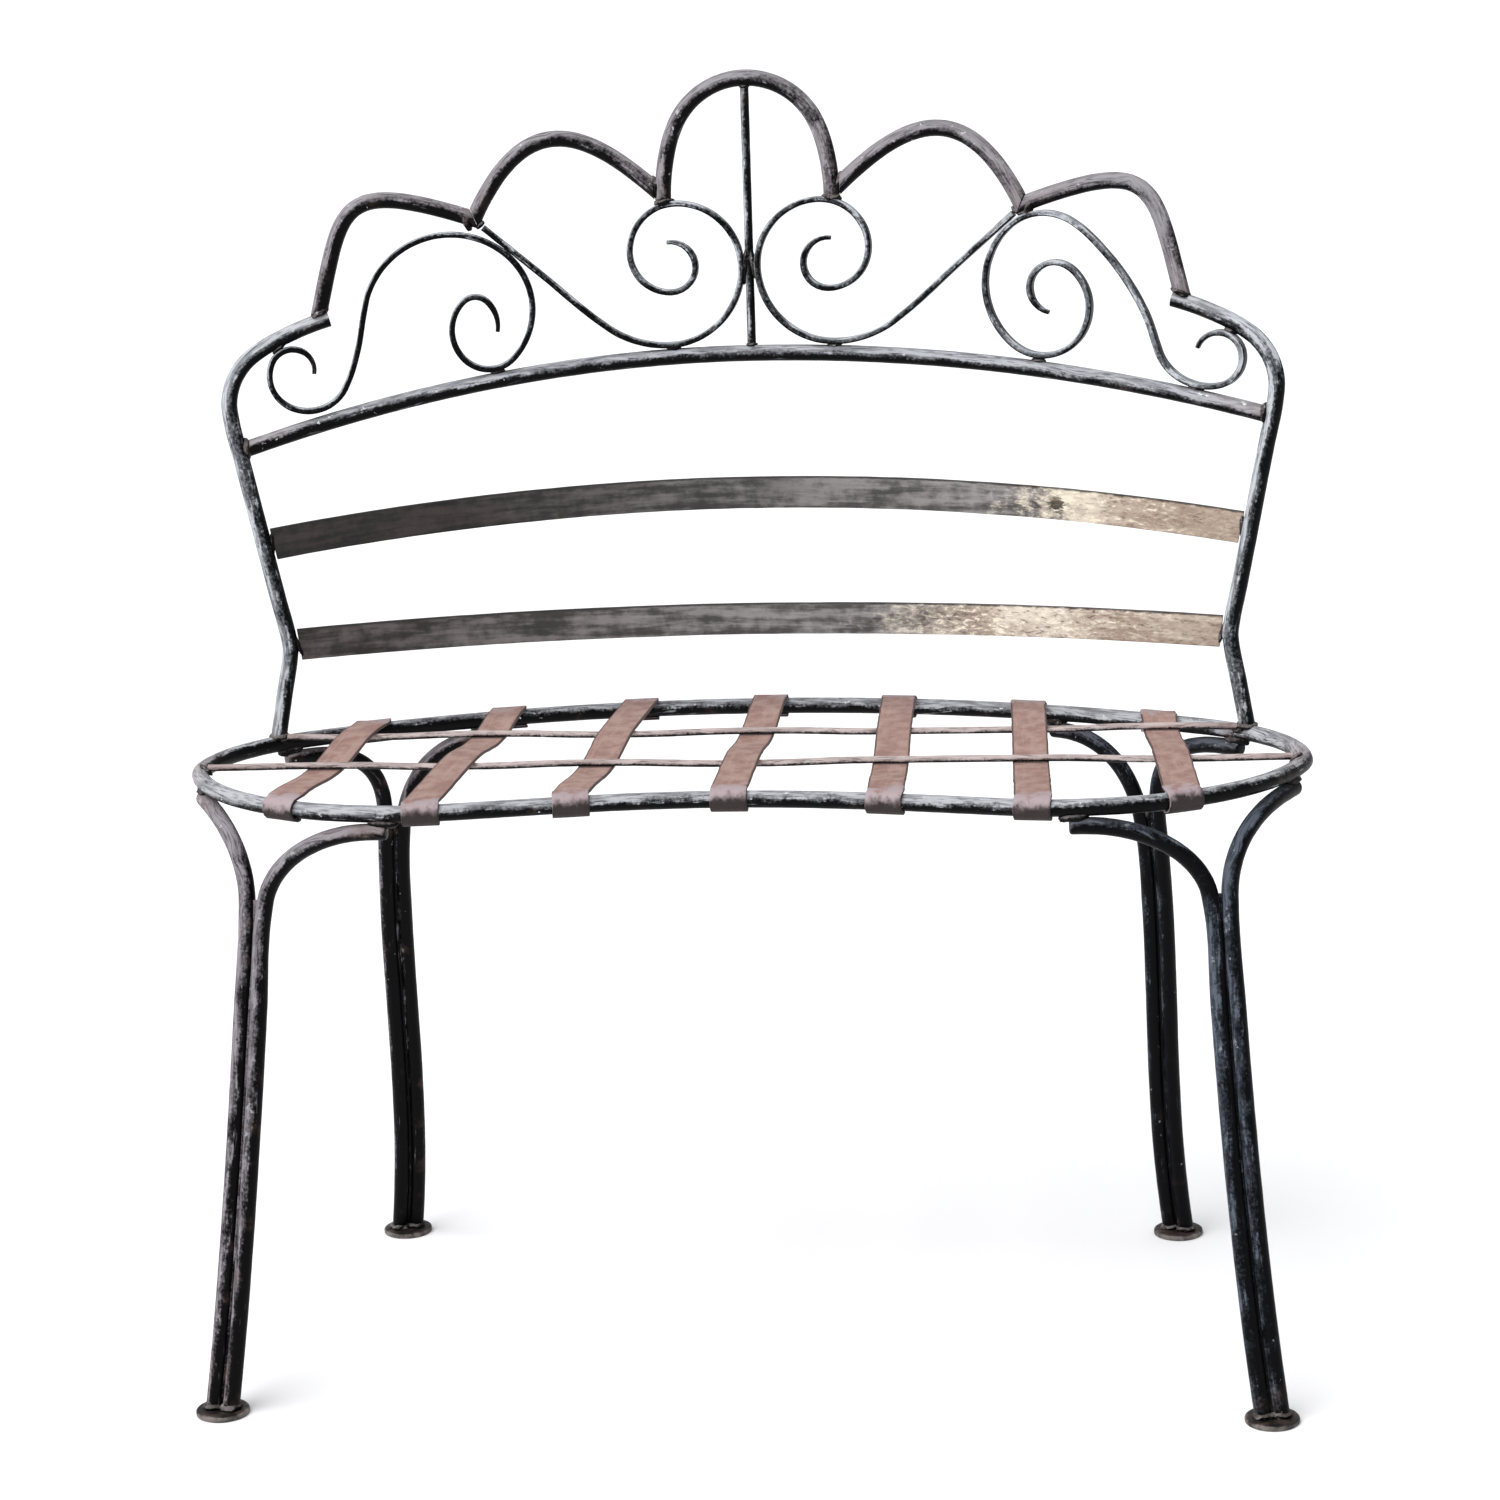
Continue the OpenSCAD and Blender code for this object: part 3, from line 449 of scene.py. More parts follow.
    height = add(tree, "ShaderNodeMath", {0: patch, 1: 0.6}, operation="MULTIPLY")
    height = add(tree, "ShaderNodeMath", {0: streak, 1: 0.4, 2: height}, operation="MULTIPLY_ADD")
    height = add(tree, "ShaderNodeMath", {0: speck, 1: 0.25, 2: height}, operation="MULTIPLY_ADD")
    height = add(tree, "ShaderNodeMath", {0: grain, 1: 0.1, 2: height}, operation="MULTIPLY_ADD")
    height = add(tree, "ShaderNodeMath", {0: bare, 1: -0.25, 2: height}, operation="MULTIPLY_ADD")
    bump = add(tree, "ShaderNodeBump", {"Height": height, "Distance": 0.7 * MM, "Strength": 1.0})
    shader = add(tree, "ShaderNodeBsdfPrincipled", {"Base Color": base, "Roughness": dull, "Metallic": bare,
                                                    "Specular IOR Level": 0.07, "Normal": bump})
    add(tree, "ShaderNodeOutputMaterial", {"Surface": shader})
    return finish


def rusted_strap():
    """Flat iron strap with its paint long gone: an even, matte, rosy rust, darker along its edges, with
    pale scratches, and paint left where it is wrapped round the rails, painted mauve-grey where it faces
    the light and black as painted shade underneath."""
    finish, tree = new_finish("rosy_rusted_strap_iron")
    place = add(tree, "ShaderNodeAttribute", out="Vector", attribute_name="bar")
    across = add(tree, "ShaderNodeSeparateXYZ", {0: place}, out="Z")
    near_end = add(tree, "ShaderNodeAttribute", out="Fac", attribute_name="near_end")
    # Soft blotches about 15 mm across, and rubbed streaks about 40 mm long and 3 mm wide
    blotch = add(tree, "ShaderNodeTexNoise", {"Vector": place, "Scale": 65.0, "Detail": 4.0,
                                              "Roughness": 0.6})
    drawn = add(tree, "ShaderNodeMapping", {"Vector": place, "Scale": (25, 300, 300)})
    rub = add(tree, "ShaderNodeTexNoise", {"Vector": drawn, "Scale": 1.0, "Detail": 3.0})
    # Scratches about 20 mm long and 1 mm wide that run across the strap, and pits of the rust
    drawn = add(tree, "ShaderNodeMapping", {"Vector": place, "Scale": (700, 60, 60)})
    scratch = add(tree, "ShaderNodeTexNoise", {"Vector": drawn, "Scale": 1.0, "Detail": 2.0})
    grain = add(tree, "ShaderNodeTexNoise", {"Vector": place, "Scale": 900.0, "Detail": 2.0})
    soft = add(tree, "ShaderNodeMapRange", {"Value": blotch, "From Min": 0.36, "From Max": 0.64}, **SOFT)
    base = add(tree, "ShaderNodeMix", {0: soft, 6: colour("#8d6e66"), 7: colour("#a2877e")}, **BLEND)
    rubbed = add(tree, "ShaderNodeMapRange", {"Value": rub, "From Min": 0.52, "From Max": 0.75,
                                              "To Max": 0.5})
    base = add(tree, "ShaderNodeMix", {0: rubbed, 6: base, 7: colour("#b0968e")}, **BLEND)
    pits = add(tree, "ShaderNodeMapRange", {"Value": grain, "From Min": 0.55, "From Max": 0.75,
                                            "To Max": 0.4})
    base = add(tree, "ShaderNodeMix", {0: pits, 6: base, 7: colour("#5f453e")}, **BLEND)
    lines = add(tree, "ShaderNodeMapRange", {"Value": scratch, "From Min": 0.72, "From Max": 0.78,
                                             "To Max": 0.6})
    base = add(tree, "ShaderNodeMix", {0: lines, 6: base, 7: colour("#cbb7af")}, **BLEND)
    # Dark within about 1 mm of the strap's sides
    side = add(tree, "ShaderNodeMath", {0: across}, operation="ABSOLUTE")
    side = add(tree, "ShaderNodeMath", {0: blotch, 1: 1.6 * MM, 2: side}, operation="MULTIPLY_ADD")
    rim = add(tree, "ShaderNodeMapRange", {"Value": side, "From Min": 12.9 * MM, "From Max": 13.9 * MM,
                                           "To Max": 0.85})
    base = add(tree, "ShaderNodeMix", {0: rim, 6: base, 7: colour("#30211f")}, **BLEND)
    # Paint left round the rails, in flecks of about 5 mm
    left = add(tree, "ShaderNodeMath", {0: blotch, 1: 1.3, 2: near_end}, operation="MULTIPLY_ADD")
    left = add(tree, "ShaderNodeMapRange", {"Value": left, "From Min": 0.95, "From Max": 1.25,
                                            "To Max": 0.96}, **SOFT)
    flecks = add(tree, "ShaderNodeTexNoise", {"Vector": place, "Scale": 190.0, "Detail": 5.0,
                                              "Roughness": 0.65})
    # Painted light and shade on the paint left round the rails: mauve-grey on faces towards the key light,
    # black on faces turned away
    normal = add(tree, "ShaderNodeNewGeometry", out="Normal")
    painted_light_facing = add(tree, "ShaderNodeVectorMath", {0: normal, 1: PAINTED_LIGHT_WAY}, out="Value",
                 operation="DOT_PRODUCT")
    tone = add(tree, "ShaderNodeMath", {0: flecks, 1: 1.6, 2: painted_light_facing}, operation="MULTIPLY_ADD")
    tone = add(tree, "ShaderNodeMapRange", {"Value": tone, "From Min": 0.8, "From Max": 1.6}, **SOFT)
    lit_and_shaded_paint = add(tree, "ShaderNodeMix", {0: tone, 6: colour("#1d1718"), 7: colour("#a09195")}, **BLEND)
    # Painted shade: the faces of the wrap turned down and away from the light go black
    painted_underside_shade = add(tree, "ShaderNodeMath", {0: blotch, 1: 0.8, 2: painted_light_facing}, operation="MULTIPLY_ADD")
    painted_underside_shade = add(tree, "ShaderNodeMapRange", {"Value": painted_underside_shade, "From Min": 0.85, "From Max": 0.35,
                                             "To Max": 0.85}, **SOFT)
    lit_and_shaded_paint = add(tree, "ShaderNodeMix", {0: painted_underside_shade, 6: lit_and_shaded_paint, 7: colour("#211a1b")}, **BLEND)
    base = add(tree, "ShaderNodeMix", {0: left, 6: base, 7: lit_and_shaded_paint}, **BLEND)
    height = add(tree, "ShaderNodeMath", {0: grain, 1: 0.25, 2: blotch}, operation="MULTIPLY_ADD")
    bump = add(tree, "ShaderNodeBump", {"Height": height, "Distance": 0.4 * MM, "Strength": 1.0})
    dull = add(tree, "ShaderNodeMapRange", {"Value": grain, "From Min": 0.3, "From Max": 0.7,
                                            "To Min": 0.55, "To Max": 0.75})
    shader = add(tree, "ShaderNodeBsdfPrincipled", {"Base Color": base, "Roughness": dull,
                                                    "Specular IOR Level": 0.3, "Normal": bump})
    add(tree, "ShaderNodeOutputMaterial", {"Surface": shader})
    return finish


def weathered_slat(name, soot, old_paint, pale_from, pale_to, cream_paint, pit=None):
    """Flat iron slat: brown-grey paint that the sun has turned, between two places along the bench, to tan
    and cream flakes with dark cracks, under a dark top edge. A pit shows where one has rusted through."""
    finish, tree = new_finish(name)
    place = add(tree, "ShaderNodeAttribute", out="Vector", attribute_name="bar")
    up = add(tree, "ShaderNodeSeparateXYZ", {0: place}, out="Z")
    where = add(tree, "ShaderNodeTexCoord", out="Object")
    sideways = add(tree, "ShaderNodeSeparateXYZ", {0: where}, out="X")
    # Stains of about 60 mm, rough patches of 10 mm, streaks 60 mm long and 6 mm wide, grain under 2 mm
    stain = add(tree, "ShaderNodeTexNoise", {"Vector": place, "Scale": 16.0, "Detail": 4.0,
                                             "Roughness": 0.6})
    rough = add(tree, "ShaderNodeTexNoise", {"Vector": place, "Scale": 95.0, "Detail": 5.0,
                                             "Roughness": 0.62})
    drawn = add(tree, "ShaderNodeMapping", {"Vector": place, "Scale": (16, 160, 160)})
    rub = add(tree, "ShaderNodeTexNoise", {"Vector": drawn, "Scale": 1.0, "Detail": 4.0, "Roughness": 0.6})
    grain = add(tree, "ShaderNodeTexNoise", {"Vector": place, "Scale": 600.0, "Detail": 2.0})
    # Flakes about 7 mm long and 2.5 mm high, with ragged outlines
    drawn = add(tree, "ShaderNodeMapping", {"Vector": place, "Scale": (140, 380, 380)})
    flake = add(tree, "ShaderNodeTexNoise", {"Vector": drawn, "Scale": 1.0, "Detail": 6.0, "Roughness": 0.7,
                                             "Distortion": 0.6})
    drift = add(tree, "ShaderNodeMath", {0: stain, 1: 0.3, 2: sideways}, operation="MULTIPLY_ADD")
    lighter = add(tree, "ShaderNodeMapRange", {"Value": drift, "From Min": pale_from - 0.275,
                                               "From Max": pale_from + 0.125})
    tone = add(tree, "ShaderNodeMath", {0: rough, 1: 0.5, 2: rub}, operation="MULTIPLY_ADD")
    tone = add(tree, "ShaderNodeMapRange", {"Value": tone, "From Min": 0.6, "From Max": 0.92}, **SOFT)
    dark = add(tree, "ShaderNodeMix", {0: tone, 6: colour(soot), 7: colour(old_paint)}, **BLEND)
    mild = add(tree, "ShaderNodeMix", {0: tone, 6: colour("#464342"), 7: colour("#908c8b")}, **BLEND)
    base = add(tree, "ShaderNodeMix", {0: lighter, 6: dark, 7: mild}, **BLEND)
    cream = add(tree, "ShaderNodeMath", {0: stain, 1: 1.2, 2: flake}, operation="MULTIPLY_ADD")
    cream = add(tree, "ShaderNodeMapRange", {"Value": cream, "From Min": 0.9, "From Max": 1.3}, **SOFT)
    tan = add(tree, "ShaderNodeMix", {0: cream, 6: colour("#a39182"), 7: colour(cream_paint)}, **BLEND)
    bright = add(tree, "ShaderNodeMapRange", {"Value": flake, "From Min": 0.54, "From Max": 0.62,
                                              "To Max": 0.85}, **SOFT)
    tan = add(tree, "ShaderNodeMix", {0: bright, 6: tan, 7: colour("#f0e6d1")}, **BLEND)
    # Broken paint lies dark in the lowest places of the flakes
    lines = add(tree, "ShaderNodeMapRange", {"Value": flake, "From Min": 0.42, "From Max": 0.35,
                                             "To Max": 0.85}, **SOFT)
    tan = add(tree, "ShaderNodeMix", {0: lines, 6: tan, 7: colour("#574a40")}, **BLEND)
    brown = add(tree, "ShaderNodeMath", {0: rub, 1: 0.35, 2: sideways}, operation="MULTIPLY_ADD")
    brown = add(tree, "ShaderNodeMapRange", {"Value": brown, "From Min": 0.43, "From Max": 0.51,
                                             "To Max": 0.65}, **SOFT)
    tan = add(tree, "ShaderNodeMix", {0: brown, 6: tan, 7: colour("#8a7567")}, **BLEND)
    drift = add(tree, "ShaderNodeMath", {0: stain, 1: 0.1, 2: sideways}, operation="MULTIPLY_ADD")
    drift = add(tree, "ShaderNodeMath", {0: rough, 1: 0.1, 2: drift}, operation="MULTIPLY_ADD")
    drift = add(tree, "ShaderNodeMath", {0: flake, 1: 0.14, 2: drift}, operation="MULTIPLY_ADD")
    pale = add(tree, "ShaderNodeMapRange", {"Value": drift, "From Min": pale_from + 0.17,
                                            "From Max": pale_to + 0.17}, **SOFT)
    base = add(tree, "ShaderNodeMix", {0: pale, 6: base, 7: tan}, **BLEND)
    if pit:
        # A ragged pit about 12 mm across, and the cream of fresh flakes about 30 mm around it
        away = add(tree, "ShaderNodeVectorMath", {0: where, 1: pit}, out="Value", operation="DISTANCE")
        fresh = add(tree, "ShaderNodeMapRange", {"Value": away, "From Min": 42 * MM, "From Max": 24 * MM,
                                                 "To Max": 0.6})
        fresh = add(tree, "ShaderNodeMath", {0: fresh, 1: pale}, operation="MULTIPLY")
        base = add(tree, "ShaderNodeMix", {0: fresh, 6: base, 7: colour("#ece2cd")}, **BLEND)
        away = add(tree, "ShaderNodeMath", {0: flake, 1: 22 * MM, 2: away}, operation="MULTIPLY_ADD")
        worn = add(tree, "ShaderNodeMapRange", {"Value": away, "From Min": 18 * MM, "From Max": 16 * MM,
                                                "To Max": 0.9})
        hole = add(tree, "ShaderNodeMix", {0: tone, 6: colour("#2f2721"), 7: colour("#7d6d55")}, **BLEND)
        base = add(tree, "ShaderNodeMix", {0: worn, 6: base, 7: hole}, **BLEND)
    # The paint holds as a dark line along the top edge, about 1.5 mm deep
    edge = add(tree, "ShaderNodeMath", {0: rough, 1: 4 * MM, 2: up}, operation="MULTIPLY_ADD")
    edge = add(tree, "ShaderNodeMapRange", {"Value": edge, "From Min": 12.4 * MM, "From Max": 13.6 * MM,
                                            "To Max": 0.9})
    base = add(tree, "ShaderNodeMix", {0: edge, 6: base, 7: colour("#1f1b1c")}, **BLEND)
    height = add(tree, "ShaderNodeMath", {0: grain, 1: 0.2, 2: rough}, operation="MULTIPLY_ADD")
    height = add(tree, "ShaderNodeMath", {0: lines, 1: -0.25, 2: height}, operation="MULTIPLY_ADD")
    bump = add(tree, "ShaderNodeBump", {"Height": height, "Distance": 0.5 * MM, "Strength": 1.0})
    dull = add(tree, "ShaderNodeMapRange", {"Value": rub, "From Min": 0.3, "From Max": 0.7, "To Min": 0.42,
                                            "To Max": 0.65})
    shader = add(tree, "ShaderNodeBsdfPrincipled", {"Base Color": base, "Roughness": dull,
                                                    "Specular IOR Level": 0.35, "Normal": bump})
    add(tree, "ShaderNodeOutputMaterial", {"Surface": shader})
    return finish


def scuffed_foot():
    """Iron disc that has stood in the wet: nearly black, brown with rust, its rim scuffed to pale metal."""
    finish, tree = new_finish("scuffed_rusty_foot_iron")
    where = add(tree, "ShaderNodeTexCoord", out="Object")
    rim = add(tree, "ShaderNodeAttribute", out="Fac", attribute_name="rim")
    # Rust patches of about 12 mm and grain of 1 mm
    patch = add(tree, "ShaderNodeTexNoise", {"Vector": where, "Scale": 85.0, "Detail": 4.0,
                                             "Roughness": 0.6})
    grain = add(tree, "ShaderNodeTexNoise", {"Vector": where, "Scale": 900.0, "Detail": 2.0})
    tone = add(tree, "ShaderNodeMapRange", {"Value": patch, "From Min": 0.4, "From Max": 0.65}, **SOFT)
    base = add(tree, "ShaderNodeMix", {0: tone, 6: colour("#0f0c0c"), 7: colour("#3d312c")}, **BLEND)
    scuff = add(tree, "ShaderNodeMath", {0: patch, 1: 0.5, 2: rim}, operation="MULTIPLY_ADD")
    scuff = add(tree, "ShaderNodeMapRange", {"Value": scuff, "From Min": 1.16, "From Max": 1.32,
                                             "To Max": 0.7}, **SOFT)
    base = add(tree, "ShaderNodeMix", {0: scuff, 6: base, 7: colour("#837c77")}, **BLEND)
    height = add(tree, "ShaderNodeMath", {0: grain, 1: 0.3, 2: patch}, operation="MULTIPLY_ADD")
    bump = add(tree, "ShaderNodeBump", {"Height": height, "Distance": 0.5 * MM, "Strength": 1.0})
    dull = add(tree, "ShaderNodeMapRange", {"Value": grain, "From Min": 0.3, "From Max": 0.7,
                                            "To Min": 0.45, "To Max": 0.65})
    shader = add(tree, "ShaderNodeBsdfPrincipled", {"Base Color": base, "Roughness": dull,
                                                    "Specular IOR Level": 0.35, "Normal": bump})
    add(tree, "ShaderNodeOutputMaterial", {"Surface": shader})
    return finish


# All these paints carry painted light: grey on the faces towards the key light and black painted shade on
# the faces turned away
front_rail_paint = worn_paint("flaking_black_front_rail_paint", "#050506", "#808185", "#b3b4b9", 0.8, 0.9,
                              0.35, lighter_from=-0.11, lighter_towards=(-0.35, 0, 0))
rear_rail_paint = worn_paint("peeling_black_rear_rail_paint", "#060506", "#7b7b7f", "#b3b5ba", 0.85, 1.0,
                             0.3, lighter_from=-0.19, lighter_towards=(0.35, 0, 0))
mid_rail_paint = worn_paint("flaking_black_mid_rail_paint", "#060607", "#808186", "#b3b4ba", 0.8, 0.9, 0.3,
                            lighter_towards=(0.25, 0, 0))
back_paint = worn_paint("faded_and_lit_mauve_black_back_paint", "#060506", "#7c787c", "#9d9a9f", 0.65, 0.7, 0.15,
                        lighter_from=0.04, lighter_towards=(0.6, 0, 0))
post_paint = worn_paint("black_post_paint_with_painted_highlight", "#030405", "#82868b", "#c2c6cb", 0.85, 0.8, 0.15,
                        lighter_from=-0.14, lighter_towards=(-0.25, 0, 0.3))
scroll_paint = worn_paint("black_scroll_paint_with_painted_shade", "#040405", "#83878c", "#c0c4ca", 0.85, 0.4, 0.1, lighter_from=-0.1,
                          lighter_towards=(0.3, 0, 0))
left_leg_paint = worn_paint("greyed_and_lit_black_left_leg_paint", "#040405", "#767176", "#a39ea4", 0.45, 0.5, 0.35,
                            lighter_from=-0.5, lighter_towards=(0, -0.5, 1.0))
right_leg_paint = worn_paint("blue_black_right_leg_paint", "#040406", "#3c424b", "#727a86", 0.4, 0.3, 0.1,
                             lighter_from=-0.36, lighter_towards=(0, -0.4, 0.5))
rod_paint = worn_paint("rust_stained_rod_paint", "#130e0f", "#a29593", "#c4b6b3", 0.7, 0.3, 0.4, lighter_from=0.25)
weld_iron = worn_paint("scorched_weld_iron", "#090808", "#443e3d", "#7d7777", 0.6, 0.4, 0.3, on_bar=False)
strap_iron = rusted_strap()
upper_slat_paint = weathered_slat("flaking_tan_upper_slat_paint", "#0e0b0a", "#342c2b", 0.195, 0.255,
                                  "#d3c5b4", pit=(0.2345, 0.124, 0.6165))
lower_slat_paint = weathered_slat("flaking_cream_lower_slat_paint", "#1b1514", "#4a4240", 0.075, 0.185,
                                  "#ddd1c2")
foot_iron = scuffed_foot()


# Bars of the seat, back and legs

def round_bar(name, material, seed, cut_ends=False, rim=RIM):
    """Shows a node's round bar, drawn along its solid and beaten."""
    bm = draw_bar(solid_route(name, BAR_CORNERS, BAR_HALF, cut_ends), waver=0.1 * MM, seed=seed, rim=rim)
    beaten(bm, 0.2 * MM, 9 * MM, seed)
    finish_mesh(bm, name + "_bar", material, [name])


sides = ("left", "right")
round_bar("front_rail", front_rail_paint, 1)
round_bar("rear_rail", rear_rail_paint, 2)
round_bar("centre_arch", back_paint, 3)
round_bar("mid_rail", mid_rail_paint, 4, cut_ends=True)
for i, side in enumerate(sides):
    round_bar(side + "_post", post_paint, 5 + i, cut_ends=True)
    round_bar(side + "_outer_scallop", back_paint, 7 + i, cut_ends=True)
    round_bar(side + "_inner_scallop", back_paint, 9 + i, cut_ends=True)
    for j, end in enumerate(("front", "rear")):
        for k, bar in enumerate(("inner", "outer")):
            paint = left_leg_paint if side == "left" else right_leg_paint
            round_bar(f"{end}_{side}_leg_{bar}", paint, 11 + 4 * i + 2 * j + k, rim=LEG_RIM)

for i, name in enumerate(("front_cross_rod", "rear_cross_rod")):
    bm = draw_bar(solid_route(name, ROD_CORNERS, ROD_HALF), seed=20 + i)
    beaten(bm, 0.12 * MM, 6 * MM, 20 + i)
    finish_mesh(bm, name + "_bar", rod_paint, [name])

low, high = (Vector(corner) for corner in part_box("centre_spindle"))
foot, head = Vector((0, low.y + SPINDLE_HALF, low.z)), Vector((0, high.y - SPINDLE_HALF, high.z))
steps = round((head - foot).length / RING_STEP)
routes["centre_spindle"] = Route([foot.lerp(head, i / steps) for i in range(steps + 1)],
                                 [ACROSS] * (steps + 1), SPINDLE_HALF)
bm = draw_bar(routes["centre_spindle"], seed=23)
beaten(bm, 0.25 * MM, 7 * MM, 23)
finish_mesh(bm, "centre_spindle_bar", scroll_paint, ["centre_spindle"])


# Flat bars: slats, scrolls and straps

for i, (name, material) in enumerate((("upper_slat", upper_slat_paint), ("lower_slat", lower_slat_paint))):
    bm = draw_bar(solid_route(name, FLAT_CORNERS, SLAT_HALF, cut_ends=True), SLAT_WIDTH, 0.9 * MM,
                  waver=0.15 * MM, seed=24 + i)
    beaten(bm, 0.3 * MM, 14 * MM, 24 + i)
    finish_mesh(bm, name + "_plate", material, [name])

for i, side in enumerate(sides):
    for j, kind in enumerate(("inner", "outer")):
        name, seed = f"{side}_{kind}_scroll", 28 + 2 * i + j
        route = solid_route(name, FLAT_CORNERS, SCROLL_HALF, step=3 * MM)
        eye = 0 if abs(route.points[0].x) < abs(route.points[-1].x) else -1
        tips = forged_tips(route, [eye] if kind == "inner" else [0, -1])
        bm = draw_bar(route, SCROLL_WIDTH, 1.3 * MM, sizes=tips, waver=0.1 * MM, seed=seed)
        beaten(bm, 0.25 * MM, 8 * MM, seed)
        finish_mesh(bm, name + "_bar", scroll_paint, [name])

for k in range(1, 8):
    name = f"seat_strap_{k}"
    route = solid_route(name, STRAP_CORNERS, STRAP_HALF)
    # Sheared edges that run up to half a millimetre in and out
    uneven = [(1, 0.975 + 0.025 * noise.noise(Vector((along / (16 * MM), k, 0)))) for along in route.along]
    bm = draw_bar(route, STRAP_WIDTH, 0.8 * MM, sizes=uneven, seed=40 + k)
    beaten(bm, 0.25 * MM, 12 * MM, 40 + k)
    finish_mesh(bm, name + "_iron", strap_iron, [name])


# Feet

def round_foot(name, seed):
    """Thick forged disc: a plate whose rim is rounded and whose edge is beaten a little out of true."""
    low, high = (Vector(corner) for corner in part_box(name))
    at = (low + high) / 2
    bm = bmesh.new()
    bmesh.ops.create_circle(bm, cap_ends=True, segments=48, radius=FOOT_RADIUS)
    made = bmesh.ops.extrude_face_region(bm, geom=bm.faces[:])["geom"]
    bmesh.ops.translate(bm, vec=UP * FOOT_TOP, verts=[g for g in made if isinstance(g, bmesh.types.BMVert)])
    caps = [f for f in bm.faces if len(f.verts) > 4]
    rim = [e for f in caps for e in f.edges]
    bmesh.ops.bevel(bm, geom=rim, offset=1.1 * MM, offset_type="OFFSET", affect="EDGES", segments=3,
                    profile=0.5, material=-1)
    # Rings across both faces, for the beating to show on
    for cap in [f for f in bm.faces if len(f.verts) > 4]:
        for inset in (3 * MM, 4 * MM, 5 * MM, 4 * MM):
            bmesh.ops.inset_region(bm, faces=[cap], thickness=inset, use_even_offset=True)
    # The edge runs in by up to 2 %, and all but the flat underside is beaten down by up to 0.35 mm
    scuff = bm.verts.layers.float.new("rim")
    for v in bm.verts:
        radius = v.co.xy.length
        v[scuff] = radius / FOOT_RADIUS
        v.co.xy *= 1 - 0.02 * (0.5 + 0.5 * noise.noise(v.co / (14 * MM) + Vector((seed, 0, 0))))
        if v.co.z > 0.2 * MM:
            v.co.z -= 0.35 * MM * (0.5 + 0.5 * noise.noise(v.co / (9 * MM) + Vector((0, seed, 0))))
    bmesh.ops.translate(bm, vec=(at.x, at.y, 0), verts=bm.verts)
    finish_mesh(bm, name + "_disc", foot_iron, [name])


for i, name in enumerate(f"{end}_{side}_foot" for end in ("front", "rear") for side in sides):
    round_foot(name, 60 + i)


# Paint and weld between the two bars of each leg

seams = {}


def fill_seam(inner, outer, name, material, seed):
    """Fills the groove where the two bars of a leg lie side by side."""
    tree = kdtree.KDTree(len(outer.points))
    for i, point in enumerate(outer.points):
        tree.insert(point, i)
    tree.balance()
    points, wides, gaps = [], [], []
    for point, way in zip(inner.points, inner.ways):
        other, _, apart = tree.find(point)
        if apart < SIDE_BY_SIDE:
            points.append((point + other) / 2)
            wides.append((other - point).cross(way).normalized())
            gaps.append(apart - 2 * BAR_HALF)
    seam = Route(points, wides, SEAM_HALF)
    seams[name] = seam
    swell = [(1 + gap / (2 * SEAM_HALF), 1) for gap in gaps]
    bm = draw_bar(seam, SEAM_WIDTH, 0.3 * MM, sizes=swell, seed=seed)
    finish_mesh(bm, name + "_seam", material)


for i, (end, side) in enumerate((end, side) for end in ("front", "rear") for side in sides):
    leg = f"{end}_{side}_leg"
    fill_seam(routes[leg + "_inner"], routes[leg + "_outer"], leg,
              left_leg_paint if side == "left" else right_leg_paint, 70 + i)


# Welds

def contacts(first, second):
    """Places where two bars meet: each a point on the second bar's face, the way out of it towards the
    first, and the way along, with whether the first bar ends there."""
    tree = kdtree.KDTree(len(second.points))
    for i, point in enumerate(second.points):
        tree.insert(point, i)
    tree.balance()
    near = [tree.find(point) for point in first.points]
    found = []
    for i, (other, j, apart) in enumerate(near):
        before = near[i - 1][2] if i else math.inf
        after = near[i + 1][2] if i + 1 < len(near) else math.inf
        if apart > first.half + second.half + WELD_SLACK or apart > before or apart > after:
            continue
        if found and (found[-1][0] - other).length < WELD_SPACING:
            continue
        out = (first.points[i] - other).normalized()
        butt = abs(first.ways[i].dot(out)) > 0.7
        along = second.ways[j] if butt else first.ways[i]
        found.append((other + out * second.half, out, (along - out * along.dot(out)).normalized(), butt))
    return found


def weld_bead(bm, place, out, along, size, seed):
    """Lays a lump of weld: size is its half length along, across and out of the joint."""
    made = bmesh.ops.create_icosphere(bm, subdivisions=3, radius=1)["verts"]
    swell = Vector((seed, 0, 0))
    ripple = Vector((0, seed, 0))
    for v in made:
        v.co *= 1 + 0.22 * noise.noise(v.co * 1.7 + swell) + 0.08 * noise.noise(v.co * 5 + ripple)
    turn = Matrix((along, out.cross(along), out)).transposed().to_4x4()
    bmesh.ops.transform(bm, matrix=Matrix.Translation(place) @ turn @ Matrix.Diagonal((*size, 1)),
                        verts=made)


def weld_group(name, joints, lumps=()):
    """Welds every joint of a list of pairs of bars, and adds single lumps, as one piece."""
    bm = bmesh.new()
    count = len(lumps)
    for i, (place, out, along, size) in enumerate(lumps):
        weld_bead(bm, place, out, along, [s * MM for s in size], 80 + i)
    for first, second, butt_size, side_size in joints:
        for place, out, along, butt in contacts(routes[first], routes[second]):
            size = butt_size if butt else side_size
            weld_bead(bm, place, out, along, [s * MM for s in size], 80 + count)
            count += 1
    finish_mesh(bm, name, weld_iron)


